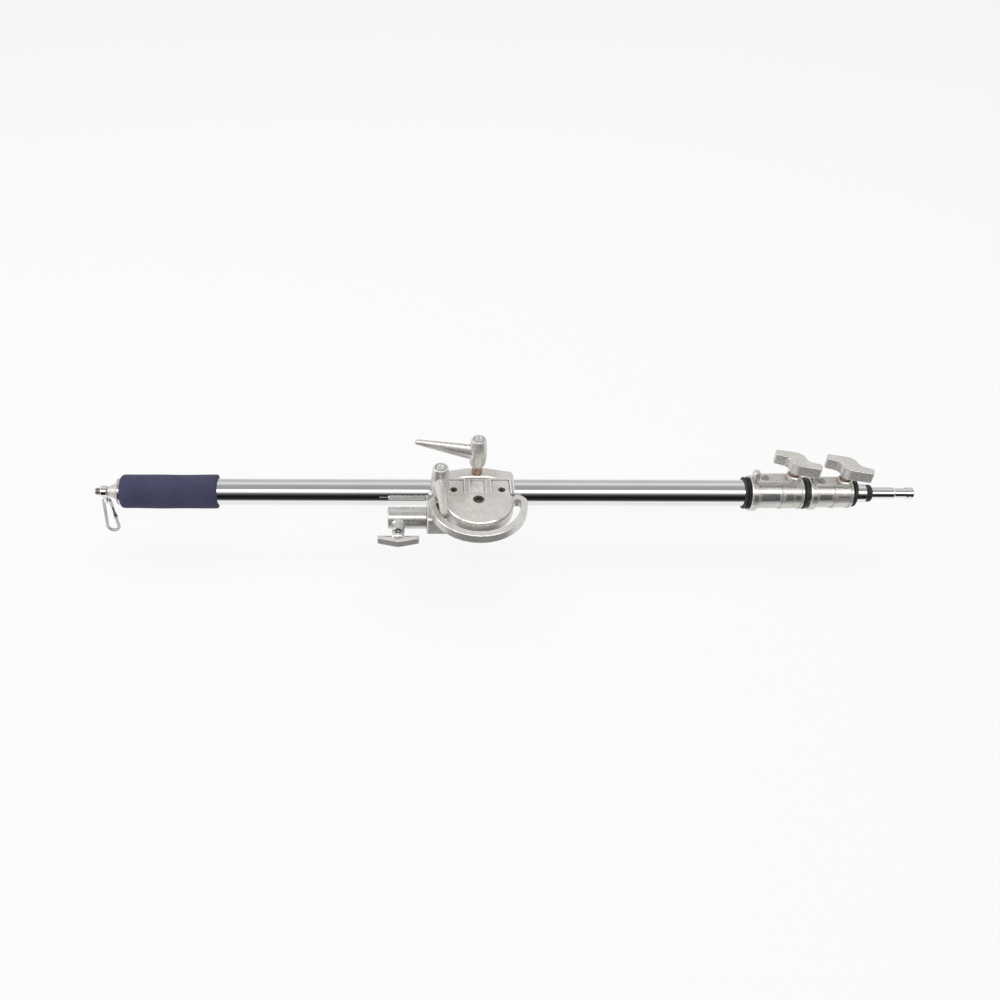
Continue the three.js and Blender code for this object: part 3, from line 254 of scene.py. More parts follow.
def add_lights():
    centre = (cad_bounds[0][0] + cad_bounds[1][0]) / 2
    aim = (centre, BOOM_Y, BOOM_Z)
    add_softbox("front_strip", (centre, -1.15, 1.5), aim, 3.4, 0.4, 14)
    add_softbox("top_box", (centre, 0.9, 1.9), aim, 3.2, 1.2, 22)
    add_softbox("left_box", (centre - 2.1, -0.3, 1.0), aim, 1.0, 1.2, 12)
    world = bpy.data.worlds.new("studio")
    bpy.context.scene.world = world
    world.use_nodes = True
    nodes, links = world.node_tree.nodes, world.node_tree.links
    nodes.clear()
    room = nodes.new("ShaderNodeBackground")
    room.inputs["Color"].default_value = (0.8, 0.8, 0.8, 1)
    room.inputs["Strength"].default_value = 0.45
    white = nodes.new("ShaderNodeBackground")
    white.inputs["Color"].default_value = (1, 1, 1, 1)
    white.inputs["Strength"].default_value = 1
    mix = nodes.new("ShaderNodeMixShader")
    links.new(seen_directly(nodes, links), mix.inputs[0])
    links.new(room.outputs[0], mix.inputs[1])
    links.new(white.outputs[0], mix.inputs[2])
    out = nodes.new("ShaderNodeOutputWorld")
    links.new(mix.outputs[0], out.inputs["Surface"])


# Finishes: each is noise on object coordinates that moves colour, roughness and bump a little; some also paint
# shade into crevices and a highlight onto outer edges

def noise(nodes, links, scale, detail=4, stretch=(1, 1, 1)):
    place = nodes.new("ShaderNodeTexCoord")
    turn = nodes.new("ShaderNodeMapping")
    turn.inputs["Scale"].default_value = stretch
    links.new(place.outputs["Object"], turn.inputs["Vector"])
    texture = nodes.new("ShaderNodeTexNoise")
    texture.inputs["Scale"].default_value = scale
    texture.inputs["Detail"].default_value = detail
    links.new(turn.outputs["Vector"], texture.inputs["Vector"])
    return texture.outputs["Fac"]


def ramp(nodes, links, source, low, high, from_low=0.3, from_high=0.7):
    span_node = nodes.new("ShaderNodeMapRange")
    span_node.inputs["From Min"].default_value = from_low
    span_node.inputs["From Max"].default_value = from_high
    span_node.inputs["To Min"].default_value = low
    span_node.inputs["To Max"].default_value = high
    links.new(source, span_node.inputs["Value"])
    return span_node.outputs["Result"]


def bump(nodes, links, height, distance, strength, below=None):
    node = nodes.new("ShaderNodeBump")
    node.inputs["Distance"].default_value = distance
    node.inputs["Strength"].default_value = strength
    links.new(height, node.inputs["Height"])
    if below is not None:
        links.new(below, node.inputs["Normal"])
    return node.outputs["Normal"]


def openness(nodes, distance, inside=False):
    """1 on open surface, lower in crevices narrower than distance, or by outer edges with inside set."""
    node = nodes.new("ShaderNodeAmbientOcclusion")
    node.samples = 12
    node.inside = inside
    node.only_local = inside
    node.inputs["Distance"].default_value = distance
    return node.outputs["AO"]


def tinted(nodes, links, share, base, colour):
    """base, a colour or a socket that gives one, where share is 0, turning to colour where it is 1."""
    mix = nodes.new("ShaderNodeMix")
    mix.data_type = "RGBA"
    mix.inputs["B"].default_value = (*colour, 1)
    links.new(share, mix.inputs["Factor"])
    if isinstance(base, tuple):
        mix.inputs["A"].default_value = (*base, 1)
    else:
        links.new(base, mix.inputs["A"])
    return mix.outputs["Result"]


def finish_material(name, metallic, dark, pale, patch_scale, rough_low, rough_high, rough_scale,
                    bumps, stretch=(1, 1, 1), painted_crevice_shade=None, painted_edge_highlight=None):
    """Principled surface: colour from dark to pale by patches, roughness by streaks, and layered bumps.

    bumps is a list of (noise scale, depth in metres, strength), coarsest first. The last two arguments are
    the (colour, width in metres, share) that crevices and outer edges turn to: painted shade that darkens
    crevices found by ambient occlusion, and a painted highlight that brightens outer edges.
    """
    material = bpy.data.materials.new(name)
    nodes, links = nodes_of(material)
    surface = nodes.new("ShaderNodeBsdfPrincipled")
    surface.inputs["Metallic"].default_value = metallic
    patches = ramp(nodes, links, noise(nodes, links, patch_scale), 0, 1)
    colour = tinted(nodes, links, patches, dark, pale)
    # Painted highlight: outer edges, found by ambient occlusion looking into the piece, brighten towards the
    # pale colour.
    if painted_edge_highlight is not None:
        tint, width, share = painted_edge_highlight
        edge = ramp(nodes, links, openness(nodes, width, True), share, 0, 0.35, 0.8)
        colour = tinted(nodes, links, edge, colour, tint)
    # Painted shade: crevices narrower than the width, found by ambient occlusion, darken towards the dark
    # colour.
    if painted_crevice_shade is not None:
        tint, width, share = painted_crevice_shade
        depth = ramp(nodes, links, openness(nodes, width), share, 0, 0.3, 0.85)
        colour = tinted(nodes, links, depth, colour, tint)
    links.new(colour, surface.inputs["Base Color"])
    streaks = noise(nodes, links, rough_scale, 6, stretch)
    links.new(ramp(nodes, links, streaks, rough_low, rough_high), surface.inputs["Roughness"])
    normal = None
    for scale, depth, strength in bumps:
        normal = bump(nodes, links, noise(nodes, links, scale, 1), depth, strength, normal)
    if normal is not None:
        links.new(normal, surface.inputs["Normal"])
    out = nodes.new("ShaderNodeOutputMaterial")
    links.new(surface.outputs[0], out.inputs["Surface"])
    return material


def foam_material():
    """Closed-cell foam: navy with a grey bloom, fine cells, and a faint moulded nap."""
    material = bpy.data.materials.new("navy_foam")
    nodes, links = nodes_of(material)
    surface = nodes.new("ShaderNodeBsdfPrincipled")
    surface.inputs["Sheen Weight"].default_value = 0.04
    surface.inputs["Sheen Roughness"].default_value = 0.5
    surface.inputs["Specular IOR Level"].default_value = 0.25
    clouds = ramp(nodes, links, noise(nodes, links, 42, 5), 0, 1, 0.35, 0.65)
    links.new(tinted(nodes, links, clouds, (0.052, 0.052, 0.104), (0.063, 0.064, 0.12)),
              surface.inputs["Base Color"])
    place = nodes.new("ShaderNodeTexCoord")
    cells = nodes.new("ShaderNodeTexVoronoi")
    cells.inputs["Scale"].default_value = 900
    links.new(place.outputs["Object"], cells.inputs["Vector"])
    links.new(ramp(nodes, links, cells.outputs["Distance"], 0.82, 0.97, 0, 1), surface.inputs["Roughness"])
    soft = bump(nodes, links, noise(nodes, links, 120, 4), 0.4 * MM, 0.35)
    fine = bump(nodes, links, cells.outputs["Distance"], 0.25 * MM, 0.55, soft)
    links.new(fine, surface.inputs["Normal"])
    out = nodes.new("ShaderNodeOutputMaterial")
    links.new(surface.outputs[0], out.inputs["Surface"])
    return material


MATERIALS = {
    # Cast aluminium paints shade into its crevices and a highlight onto its outer edges.
    "cast_aluminium": finish_material(
        "cast_aluminium", 0.6, (0.64, 0.615, 0.58), (0.74, 0.72, 0.69), 70, 0.24, 0.34, 220,
        [(35, 0.3 * MM, 0.05), (700, 0.03 * MM, 0.08)], painted_crevice_shade=((0.14, 0.125, 0.11), 3 * MM, 0.9),
        painted_edge_highlight=((0.95, 0.935, 0.91), 1.8 * MM, 0.8)),
    "chrome": finish_material(
        "chrome", 1, (0.80, 0.80, 0.80), (0.86, 0.86, 0.855), 12, 0.035, 0.1, 90,
        [(9, 0.3 * MM, 0.02)], (0.15, 1, 1)),
    # Satin steel paints shade into its crevices.
    "satin_steel": finish_material(
        "satin_steel", 1, (0.46, 0.45, 0.435), (0.58, 0.57, 0.55), 80, 0.2, 0.32, 300,
        [(300, 0.01 * MM, 0.05)], (1, 0.2, 0.2), painted_crevice_shade=((0.06, 0.055, 0.05), 1.6 * MM, 0.85)),
    "dark_steel": finish_material(
        "dark_steel", 0.9, (0.13, 0.118, 0.105), (0.22, 0.2, 0.18), 150, 0.3, 0.45, 300,
        [(400, 0.04 * MM, 0.2)]),
    "copper": finish_material(
        "copper", 0.95, (0.36, 0.2, 0.14), (0.52, 0.33, 0.25), 220, 0.3, 0.5, 260,
        [(500, 0.06 * MM, 0.3)]),
    "black_rubber": finish_material(
        "black_rubber", 0, (0.012, 0.012, 0.013), (0.03, 0.03, 0.031), 70, 0.45, 0.7, 160,
        [(300, 0.1 * MM, 0.25)]),
    "pale_plastic": finish_material(
        "pale_plastic", 0.25, (0.58, 0.54, 0.51), (0.68, 0.64, 0.61), 90, 0.3, 0.45, 200,
        [(300, 0.05 * MM, 0.2)]),
    "brake_nylon": finish_material(
        "brake_nylon", 0, (0.03, 0.03, 0.033), (0.05, 0.05, 0.055), 90, 0.45, 0.6, 200,
        [(300, 0.05 * MM, 0.2)]),
    "navy_foam": foam_material(),
}
MILLED_FACE = finish_material(
    "milled_face", 0.4, (0.82, 0.83, 0.83), (0.9, 0.91, 0.91), 90, 0.28, 0.4, 260,
    [(600, 0.03 * MM, 0.15)], (1, 0.15, 1))
# Turned steel paints shade into its crevices and a highlight onto its outer edges.
TURNED_STEEL = finish_material(
    "turned_steel", 0.75, (0.58, 0.565, 0.54), (0.68, 0.67, 0.645), 60, 0.24, 0.32, 300,
    [(300, 0.01 * MM, 0.04)], (1, 0.1, 0.1), painted_crevice_shade=((0.10, 0.09, 0.085), 2.5 * MM, 0.85),
    painted_edge_highlight=((0.86, 0.85, 0.83), 0.9 * MM, 0.6))
BRIGHT_WIRE = finish_material(
    "bright_wire", 1, (0.42, 0.41, 0.39), (0.55, 0.54, 0.52), 40, 0.12, 0.2, 120,
    [(200, 0.03 * MM, 0.05)])
# Painted shade: dark patches laid on the clamps' recessed panels for their shade and dark reflection.
PANEL_SHADE = finish_material(
    "panel_shade", 0.6, (0.2, 0.2, 0.205), (0.27, 0.27, 0.275), 120, 0.35, 0.5, 200,
    [(500, 0.03 * MM, 0.1)])


OWN_FINISH = {"clamp_1_screw": BRIGHT_WIRE, "clamp_2_screw": BRIGHT_WIRE}


# Surfaces

def finish_piece(name, mesh, node, smooth_angle=35, material=None, added=False):
    """Object for a mesh, shaded smooth below smooth_angle. It stands for its node unless it is added to it."""
    mesh.shade_smooth()
    mesh.set_sharp_from_angle(angle=math.radians(smooth_angle))
    mesh.materials.clear()
    mesh.materials.append(material or MATERIALS[SLOT_OF[node]])
    piece = bpy.data.objects.new(name, mesh)
    bpy.context.scene.collection.objects.link(piece)
    weighted = piece.modifiers.new("even_shading", "WEIGHTED_NORMAL")
    weighted.keep_sharp = True
    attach(piece, BODY_OF[node])
    if not added:
        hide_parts(node)
    return piece


def grid_faces(rows, columns, wrap_rows, wrap_columns):
    """Quads of a rows by columns grid of points, with either direction closed on itself."""
    r = np.arange(rows if wrap_rows else rows - 1)
    c = np.arange(columns if wrap_columns else columns - 1)
    r, c = np.meshgrid(r, c, indexing="ij")
    r2, c2 = (r + 1) % rows, (c + 1) % columns
    quads = np.stack([r * columns + c, r2 * columns + c, r2 * columns + c2, r * columns + c2], -1)
    return quads.reshape(-1, 4)


def capped_faces(rows, sides):
    """Quads of rows that are each closed on itself, and one face over the first row and over the last."""
    faces = grid_faces(rows, sides, False, True).tolist()
    faces.append(list(range(sides)))
    faces.append(list(range((rows - 1) * sides, rows * sides))[::-1])
    return faces


def softened(profile, radius, steps=4, closed=False):
    """Profile with each corner replaced by a quadratic arc that starts and ends radius from it."""
    profile = [np.array(p, float) for p in profile]
    count = len(profile)
    out = []
    for i, corner in enumerate(profile):
        if not closed and i in (0, count - 1):
            out.append(corner)
            continue
        before, after = profile[i - 1], profile[(i + 1) % count]
        back, ahead = before - corner, after - corner
        reach = min(radius, 0.45 * np.linalg.norm(back), 0.45 * np.linalg.norm(ahead))
        start = corner + back / np.linalg.norm(back) * reach
        end = corner + ahead / np.linalg.norm(ahead) * reach
        t = np.linspace(0, 1, steps + 1)[:, None]
        out.extend((1 - t) ** 2 * start + 2 * t * (1 - t) * corner + t ** 2 * end)
    return np.array(out)


def turned_points(profile, steps, axis_point, axis):
    """Profile points (station, radius) carried round an axis: radius times cosine and sine beside it."""
    axis = np.array(axis, float)
    side = np.array([0, 0, 1.0]) if abs(axis[2]) < 0.5 else np.array([1.0, 0, 0])
    other = np.cross(axis, side)
    angle = np.linspace(0, 2 * math.pi, steps, endpoint=False)
    station, radius = profile[:, 0], profile[:, 1]
    around = np.cos(angle)[:, None] * side + np.sin(angle)[:, None] * other
    points = station[:, None, None] * axis + radius[:, None, None] * around[None]
    return (points + np.array(axis_point, float)).reshape(-1, 3)


def turned(profile, steps, axis_point, axis, closed):
    """Points and faces of a turned solid. A closed profile is a ring, an open one ends on the axis."""
    count = len(profile)
    points = turned_points(profile, steps, axis_point, axis)
    faces = grid_faces(count, steps, True, True).tolist() if closed else capped_faces(count, steps)
    return points, faces


def outward(mesh):
    shape = bmesh.new()
    shape.from_mesh(mesh)
    bmesh.ops.remove_doubles(shape, verts=shape.verts, dist=1e-7)
    bmesh.ops.recalc_face_normals(shape, faces=shape.faces)
    shape.to_mesh(mesh)
    shape.free()


def turned_piece(node, profile, closed=True, edge=0.5 * MM, steps=TURN_STEPS):
    """Piece turned about the boom's centre line from (station, radius) points."""
    profile = softened(profile, edge, closed=closed)
    points, faces = turned(profile, steps, BOOM_LINE, (1, 0, 0), closed)
    mesh = bpy.data.meshes.new(node)
    mesh.from_pydata(points.tolist(), [], faces)
    outward(mesh)
    return finish_piece(f"{node}_finished", mesh, node)


def joined_piece(node, parts, name=None, material=None, added=False):
    """One piece from several closed surfaces, each given as points and faces."""
    points, faces, first = [], [], 0
    for part_points, part_faces in parts:
        points.append(part_points)
        faces.extend([[v + first for v in face] for face in part_faces])
        first += len(part_points)
    mesh = bpy.data.meshes.new(node)
    mesh.from_pydata(np.concatenate(points).tolist(), [], faces)
    outward(mesh)
    return finish_piece(name or f"{node}_finished", mesh, node, material=material, added=added)


# Cast pieces: merged copies of their solids with rounded edges

CAST_EDGE = {
    "head_casting": 0.9 * MM,
    "receiver_bracket": 1.0 * MM,
    "clamp_1_casting": 0.6 * MM,
    "clamp_2_casting": 0.6 * MM,
}
SMALL_EDGE = 0.25 * MM


def rounded_copy(node, edge=SMALL_EDGE, material=None):
    """Copy of a node's mesh: corners merged, flat neighbours joined, edges rounded by a bevel."""
    shape = bmesh.new()
    shape.from_mesh(frame["nodes"][node].data)
    bmesh.ops.remove_doubles(shape, verts=shape.verts, dist=1e-6)
    bmesh.ops.dissolve_limit(shape, angle_limit=math.radians(1), verts=shape.verts, edges=shape.edges)
    mesh = bpy.data.meshes.new(node)
    shape.to_mesh(mesh)
    shape.free()
    piece = finish_piece(f"{node}_finished", mesh, node, 32, material)
    rounding = piece.modifiers.new("rounded_edges", "BEVEL")
    rounding.width = edge
    rounding.segments = 2
    rounding.limit_method = "ANGLE"
    rounding.angle_limit = math.radians(32)
    rounding.harden_normals = False
    piece.modifiers.move(1, 0)
    return piece


# Tubes and rings on the boom's centre line

BOOM_LINE = (0.0, BOOM_Y, BOOM_Z)
TUBE_WALL = 1.5 * MM


def tube_piece(node):
    low, high = span(node)
    outer = outer_radius(node)
    inner = outer - TUBE_WALL
    turned_piece(node, [(low[0], inner), (high[0], inner), (high[0], outer), (low[0], outer)],
                 edge=0.4 * MM, steps=FINE_TURN_STEPS)


GRIP_REAR_GAP = 1.6 * MM
GRIP_ROUNDING = 6 * MM  # along the boom, at the rear end
GRIP_ROUNDING_DEPTH = 5.4 * MM
GRIP_FRONT_EDGE = 1.4 * MM
GRIP_SWAY = 0.16 * MM


def grip_piece():
    """Foam sleeve: a ring profile whose radius sways by the sine of station and angle, two waves summed."""
    low, high = span("foam_grip")
    outer = outer_radius("foam_grip")
    inner = outer_radius("main_tube") + 0.3 * MM
    start = low[0] + GRIP_REAR_GAP
    turn = np.linspace(0, math.pi / 2, 9)
    rear = list(zip(start + GRIP_ROUNDING * (1 - np.cos(turn)),
                    outer - GRIP_ROUNDING_DEPTH * (1 - np.sin(turn))))
    x = np.linspace(start + GRIP_ROUNDING, high[0] - GRIP_FRONT_EDGE, 120)
    front = [(high[0] - GRIP_FRONT_EDGE, outer),
             (high[0] - 0.35 * MM, outer - 0.4 * MM), (high[0], outer - 1.5 * MM)]
    side = list(zip(x[1:-1], np.full(len(x) - 2, outer)))
    profile = np.array([(high[0], inner), (start, inner)] + rear + side + front)
    points = turned_points(profile, TURN_STEPS, BOOM_LINE, (1, 0, 0)).reshape(len(profile), TURN_STEPS, 3)
    angle = np.linspace(0, 2 * math.pi, TURN_STEPS, endpoint=False)
    station = profile[:, 0][:, None]
    waves = np.sin(station * 95 + 2 * angle) + np.sin(station * 41 - 3 * angle + 1.3)
    sway = GRIP_SWAY * waves - 2 * GRIP_SWAY
    outside = (profile[:, 1] > outer - 0.5 * MM)[:, None]
    centre = np.array(BOOM_LINE)
    away = points - centre
    away[..., 0] = 0
    away /= np.linalg.norm(away, axis=-1, keepdims=True)
    points += away * (sway * outside)[..., None]
    faces = grid_faces(len(profile), TURN_STEPS, True, True)
    mesh = bpy.data.meshes.new("foam_grip")
    mesh.from_pydata(points.reshape(-1, 3).tolist(), [], faces.tolist())
    outward(mesh)
    grip = finish_piece("foam_grip_sleeve", mesh, "foam_grip", 60)


def stop_ring_piece():
    """Rubber ring with two round ridges: the radius is two raised cosines along its length."""
    low, high = span("stop_ring")
    outer = outer_radius("stop_ring")
    inner = outer_radius("main_tube") + 0.2 * MM
    t = np.linspace(0, 1, 41)
    valley = outer - 2.4 * MM
    radius = valley + (outer - valley) * (0.5 - 0.5 * np.cos(4 * math.pi * t)) ** 0.6
    ridge = list(zip(high[0] + (low[0] - high[0]) * t, radius))
    turned_piece("stop_ring", [(low[0], inner), (high[0], inner)] + ridge, edge=0.1 * MM)


def nose_band_piece(node, tube_node):
    """Rubber band that lies round the tube on a slant: its middle moves along it by the angle's cosine."""
    low, high = span(node)
    outer = outer_radius(node)
    inner = outer_radius(tube_node) + 0.2 * MM
    half = 2.3 * MM
    x = (low[0] + high[0]) / 2
    profile = softened([(-half, inner), (half, inner), (half, outer), (-half, outer)], 1.1 * MM, closed=True)
    profile[:, 0] += x
    points = turned_points(profile, TURN_STEPS, BOOM_LINE, (1, 0, 0)).reshape(len(profile), TURN_STEPS, 3)
    angle = np.linspace(0, 2 * math.pi, TURN_STEPS, endpoint=False)
    room = (high[0] - low[0]) / 2 - half
    points[..., 0] += room * np.cos(angle + math.pi / 3)[None]
    points = points.reshape(-1, 3)
    faces = grid_faces(len(profile), TURN_STEPS, True, True).tolist()
    joined_piece(node, [(points, faces)])


def end_ring_piece():
    low, high = span("tube_end_ring")
    outer = outer_radius("tube_end_ring")
    face = span("section_3_tube")[1][0] + 0.3 * MM
    plug = outer_radius("section_3_tube") - TUBE_WALL - 0.3 * MM
    bore = 8.2 * MM
    turned_piece("tube_end_ring", [
        (low[0], bore), (high[0], bore), (high[0], outer - 1.8 * MM), (high[0] - 1.6 * MM, outer),
        (face, outer), (face, plug), (low[0], plug)], edge=0.7 * MM)


def end_cap_piece():
    low, high = span("rear_end_cap")
    tube_rear = span("main_tube")[0][0]
    rim = outer_radius("rear_end_cap")
    bore = 5.1 * MM
    turned_piece("rear_end_cap", [
        (low[0], bore), (high[0], bore), (high[0], 15.6 * MM), (tube_rear - 0.3 * MM, 15.6 * MM),
        (tube_rear - 0.3 * MM, rim), (tube_rear - 2.1 * MM, rim), (tube_rear - 2.1 * MM, 12 * MM),
        (low[0] + 1.2 * MM, 6.4 * MM), (low[0], 6 * MM)], edge=0.5 * MM)


def threaded_points(start, end, radius, pitch, depth, turn_steps, per_turn):
    """Screw thread: the radius is a rounded ridge wave of the station less the angle's share of the pitch."""
    rows = int((end - start) / pitch * per_turn) + 1
    x = np.linspace(start, end, rows)
    angle = np.linspace(0, 2 * math.pi, turn_steps, endpoint=False)
    wave = np.cos(2 * math.pi * (x[:, None] / pitch) - angle[None])
    fade = np.clip(np.minimum(x - start, end - x) / pitch, 0, 1)[:, None]
    r = radius - depth / 2 + depth / 2 * wave * fade - depth * 0.4 * (1 - fade)
    y = BOOM_Y + r * np.cos(angle)[None]
    z = BOOM_Z + r * np.sin(angle)[None]
    return np.stack([np.broadcast_to(x[:, None], r.shape), y, z], -1).reshape(-1, 3), rows


def rear_stud_piece():
    low, high = span("rear_stud")
    radius = outer_radius("rear_stud")
    points, rows = threaded_points(low[0], high[0], radius, 1.5 * MM, 0.9 * MM, SMALL_TURN_STEPS, 8)
    joined_piece("rear_stud", [(points, capped_faces(rows, SMALL_TURN_STEPS))])


def spigot_piece():
    """Spigot: a polished rod, a groove, and a round-edged head with a ring cut round it."""
    low, high = span("spigot")
    face = span("tube_end_ring")[1][0]
    foot = outer_radius("spigot")
    rod, groove_r = 8 * MM, 6.7 * MM
    groove = face + 29 * MM
    head = groove + 16 * MM
    slope = rod - groove_r
    neck = high[0] - 6.4 * MM
    turned_piece("spigot", [
        (low[0], 0.05 * MM), (low[0], foot), (low[0] + 6 * MM, foot), (low[0] + 6 * MM, rod),
        (groove, rod), (groove + slope, groove_r), (head - slope, groove_r), (head, rod),
        (neck - 0.9 * MM, rod), (neck, rod - 0.9 * MM), (neck + 0.9 * MM, rod),
        (high[0] - 2.6 * MM, rod), (high[0], rod - 3 * MM), (high[0], 0.05 * MM)],
        closed=False, edge=0.5 * MM)


# Levers

SCREW_BORE_R = 4.4 * MM  # bore of lever hubs, knobs, the T-handle and the receiver's boss
LEVER_REACH = 77 * MM
LEVER_RISE = 17.6 * MM
LEVER_ROOT_HEIGHT = 22 * MM
LEVER_TIP = 3.9 * MM
LEVER_ROOT_HALF = np.array([8.8, 12.6]) * MM  # across the arm and up


def lever_arm(base, heading):
    """Tapered arm from the hub: an egg-shaped section with a raised ridge, its size falling along the arm."""
    steps, sides = 48, 40
    s = np.linspace(0, 1, steps)
    taper = 1 - s
    wide = 3.5 * MM + (LEVER_ROOT_HALF[0] - 3.5 * MM) * taper
    high = LEVER_TIP + (LEVER_ROOT_HALF[1] - LEVER_TIP) * taper
    length = math.hypot(LEVER_REACH, LEVER_RISE)
    cap = LEVER_TIP / length
    end = np.clip((1 + cap - s * (1 + cap)) / cap, 0, 1)
    close = np.sqrt(np.clip(1 - (1 - end) ** 2, 1e-4, 1))
    angle = np.linspace(0, 2 * math.pi, sides, endpoint=False)
    ridge = 1 / (np.abs(np.cos(angle)) ** 1.5 + np.abs(np.sin(angle)) ** 1.5) ** (1 / 1.5)
    across = (wide * close)[:, None] * (ridge * np.cos(angle))[None]
    up = (high * close)[:, None] * (ridge * np.sin(angle))[None]
    slope = math.atan2(LEVER_RISE, LEVER_REACH)
    along = (s * (length + LEVER_TIP))[:, None]
    out = along * math.cos(slope) - up * math.sin(slope)
    rise = along * math.sin(slope) + up * math.cos(slope) + LEVER_ROOT_HEIGHT
    c, k = math.cos(heading), math.sin(heading)
    x = base[0] + out * c - across * k
    y = base[1] + out * k + across * c
    z = base[2] + rise
    points = np.stack([x, y, z], -1).reshape(-1, 3)
    return points, capped_faces(steps, sides)


def lever_hub(base):
    """Hub: a turned barrel shape, open at the bottom for the stud and dished at the top for the cap screw."""
    profile = softened([
        (24 * MM, SCREW_BORE_R), (0.0, SCREW_BORE_R), (0.0, 7.0 * MM), (1.2 * MM, 7.9 * MM),
        (6 * MM, 10.1 * MM),
        (12 * MM, 11.1 * MM), (21 * MM, 11.4 * MM), (30 * MM, 11 * MM), (38 * MM, 10.1 * MM),
        (43.8 * MM, 9.4 * MM), (45 * MM, 8.5 * MM),
        (45 * MM, 6.7 * MM), (44.2 * MM, 6.3 * MM), (40.8 * MM, 6.3 * MM), (40.8 * MM, SCREW_BORE_R),
    ], 0.9 * MM, closed=True)
    return turned(profile, TURN_STEPS, base, (0, 0, 1), True)


def lever_piece(node, joint, heading):
    low, _ = span(node)
    x, y, _ = JOINT_AT[joint]
    base = (x, y, low[2])
    joined_piece(node, [lever_hub(base), lever_arm(base, heading)])


def cap_screw_piece(node, joint):
    """Round screw head set in the lever's hub, with a round socket."""
    low, high = span(node)
    x, y, _ = JOINT_AT[joint]
    radius = (high[0] - low[0]) / 2
    profile = softened([(low[2], 0.02 * MM), (low[2], radius), (high[2] - 0.7 * MM, radius),
                        (high[2], radius - 1.2 * MM), (high[2], 3.1 * MM), (high[2] - 1.6 * MM, 2.9 * MM),
                        (high[2] - 1.6 * MM, 0.02 * MM)], 0.4 * MM)
    points, faces = turned(profile, SMALL_TURN_STEPS, (x, y, 0), (0, 0, 1), False)
    joined_piece(node, [(points, faces)])


# Wing knobs

def knob_outline():
    """Plan outline: two wings on opposite sides of the middle, so that a half turn maps it on itself."""
    half = np.array([(31, -5.2), (28.5, 5.2), (13, 3.2), (8.5, 6), (4, 11.3), (-4.8, 13.2)]) * MM
    return softened(np.concatenate([half, -half]), 2.6 * MM, 5, closed=True)


def raised_outline(outline, low, high, edge, steps=6):
    """Outline raised from low to high. Near both faces it draws in along a quarter circle of radius edge."""
    count = len(outline)
    ahead = np.roll(outline, -1, 0) - np.roll(outline, 1, 0)
    area = np.sum(outline[:, 0] * np.roll(outline[:, 1], -1) - np.roll(outline[:, 0], -1) * outline[:, 1])
    inward = np.stack([-ahead[:, 1], ahead[:, 0]], -1) * np.sign(area)
    inward /= np.linalg.norm(inward, axis=1, keepdims=True)
    turn = np.linspace(0, math.pi / 2, steps)
    inset, depth = edge * (1 - np.sin(turn)), edge * (1 - np.cos(turn))
    inset = np.concatenate([inset, inset[::-1]])
    height = np.concatenate([low + depth, high - depth[::-1]])
    plan = outline[None] + inward[None] * inset[:, None, None]
    level = np.broadcast_to(height[:, None, None], (len(height), count, 1))
    points = np.concatenate([plan, level], -1).reshape(-1, 3)
    return points, capped_faces(len(height), count)


def knob_parts():
    """Knob on +Z from z = 0: raised wings and a turned hub with a neck."""
    wing_low, wing_height, hub_height = 6 * MM, 16 * MM, 20 * MM
    wings = raised_outline(knob_outline(), wing_low, wing_low + wing_height, 1.5 * MM)
    hub_r = 8.8 * MM
    profile = softened([
        (9 * MM, SCREW_BORE_R), (0.0, SCREW_BORE_R), (0.0, 6.6 * MM), (1 * MM, 7.4 * MM),
        (wing_low + MM, hub_r),
        (hub_height - 2 * MM, hub_r), (hub_height, hub_r - 3.5 * MM), (hub_height, 0.5 * MM),
        (9 * MM, 0.5 * MM),
    ], 1.0 * MM, closed=True)
    return [wings, turned(profile, TURN_STEPS, (0, 0, 0), (0, 0, 1), True)]


def handle_parts():
    """Handle on +Z from z = 0: stem, collar, and a wing body that sweeps back from its middle to its tips."""
    stem = turned(softened([
        (9 * MM, SCREW_BORE_R), (0.0, SCREW_BORE_R), (0.0, 6.6 * MM), (1 * MM, 7.3 * MM), (8 * MM, 7.3 * MM),
        (9.4 * MM, 9.4 * MM), (12 * MM, 9.8 * MM), (13.4 * MM, 8.8 * MM), (15 * MM, 7 * MM),
        (15 * MM, 0.5 * MM), (9 * MM, 0.5 * MM)], 0.6 * MM, closed=True),
        TURN_STEPS, (0, 0, 0), (0, 0, 1), True)
    plan = np.array([(-26.5, 9), (-9, 10.4), (9, 10.4), (26.5, 9), (26, 14.6), (0, 21), (-26, 14.6)]) * MM
    points, faces = raised_outline(softened(plan, 1.8 * MM, 4, closed=True), -5 * MM, 5 * MM, 1.2 * MM)
    wings = points @ np.array([[1, 0, 0], [0, 0, 1], [0, -1, 0]]), faces
    return [stem, wings]


def placed(parts, rotation, origin):
    """Parts turned by a 3 by 3 rotation and moved to origin."""
    return [(points @ np.array(rotation).T + np.array(origin), faces) for points, faces in parts]


def about_z(angle):
    c, s = math.cos(angle), math.sin(angle)
    return [[c, -s, 0], [s, c, 0], [0, 0, 1]]


KNOB_TURN = math.radians(-31)
TOWARDS_FRONT = [[1, 0, 0], [0, 0, -1], [0, 1, 0]]  # turns +Z into -Y


def knob_piece(node, joint):
    low, _ = span(node)
    x, y, _ = JOINT_AT[joint]
    joined_piece(node, placed(knob_parts(), about_z(KNOB_TURN), (x, y, low[2])))


def t_handle_piece():
    """T-handle towards the front, with a socket screw across its stem on the upper side."""
    _, high = span("t_handle")
    x, _, z = JOINT_AT["t_handle_turn"]
    joined_piece("t_handle", placed(handle_parts(), TOWARDS_FRONT, (x, high[1], z)))
    screw = socket_parts(0, 0, 5 * MM, 9.2 * MM, 4.3 * MM, 2.9 * MM, 3 * MM)
    place = (x, high[1] - 4.6 * MM, z)
    joined_piece("t_handle", placed([screw], about_z(0), place), "t_handle_cross_screw",
                 MATERIALS["dark_steel"], added=True)


# Screws with a six-sided socket

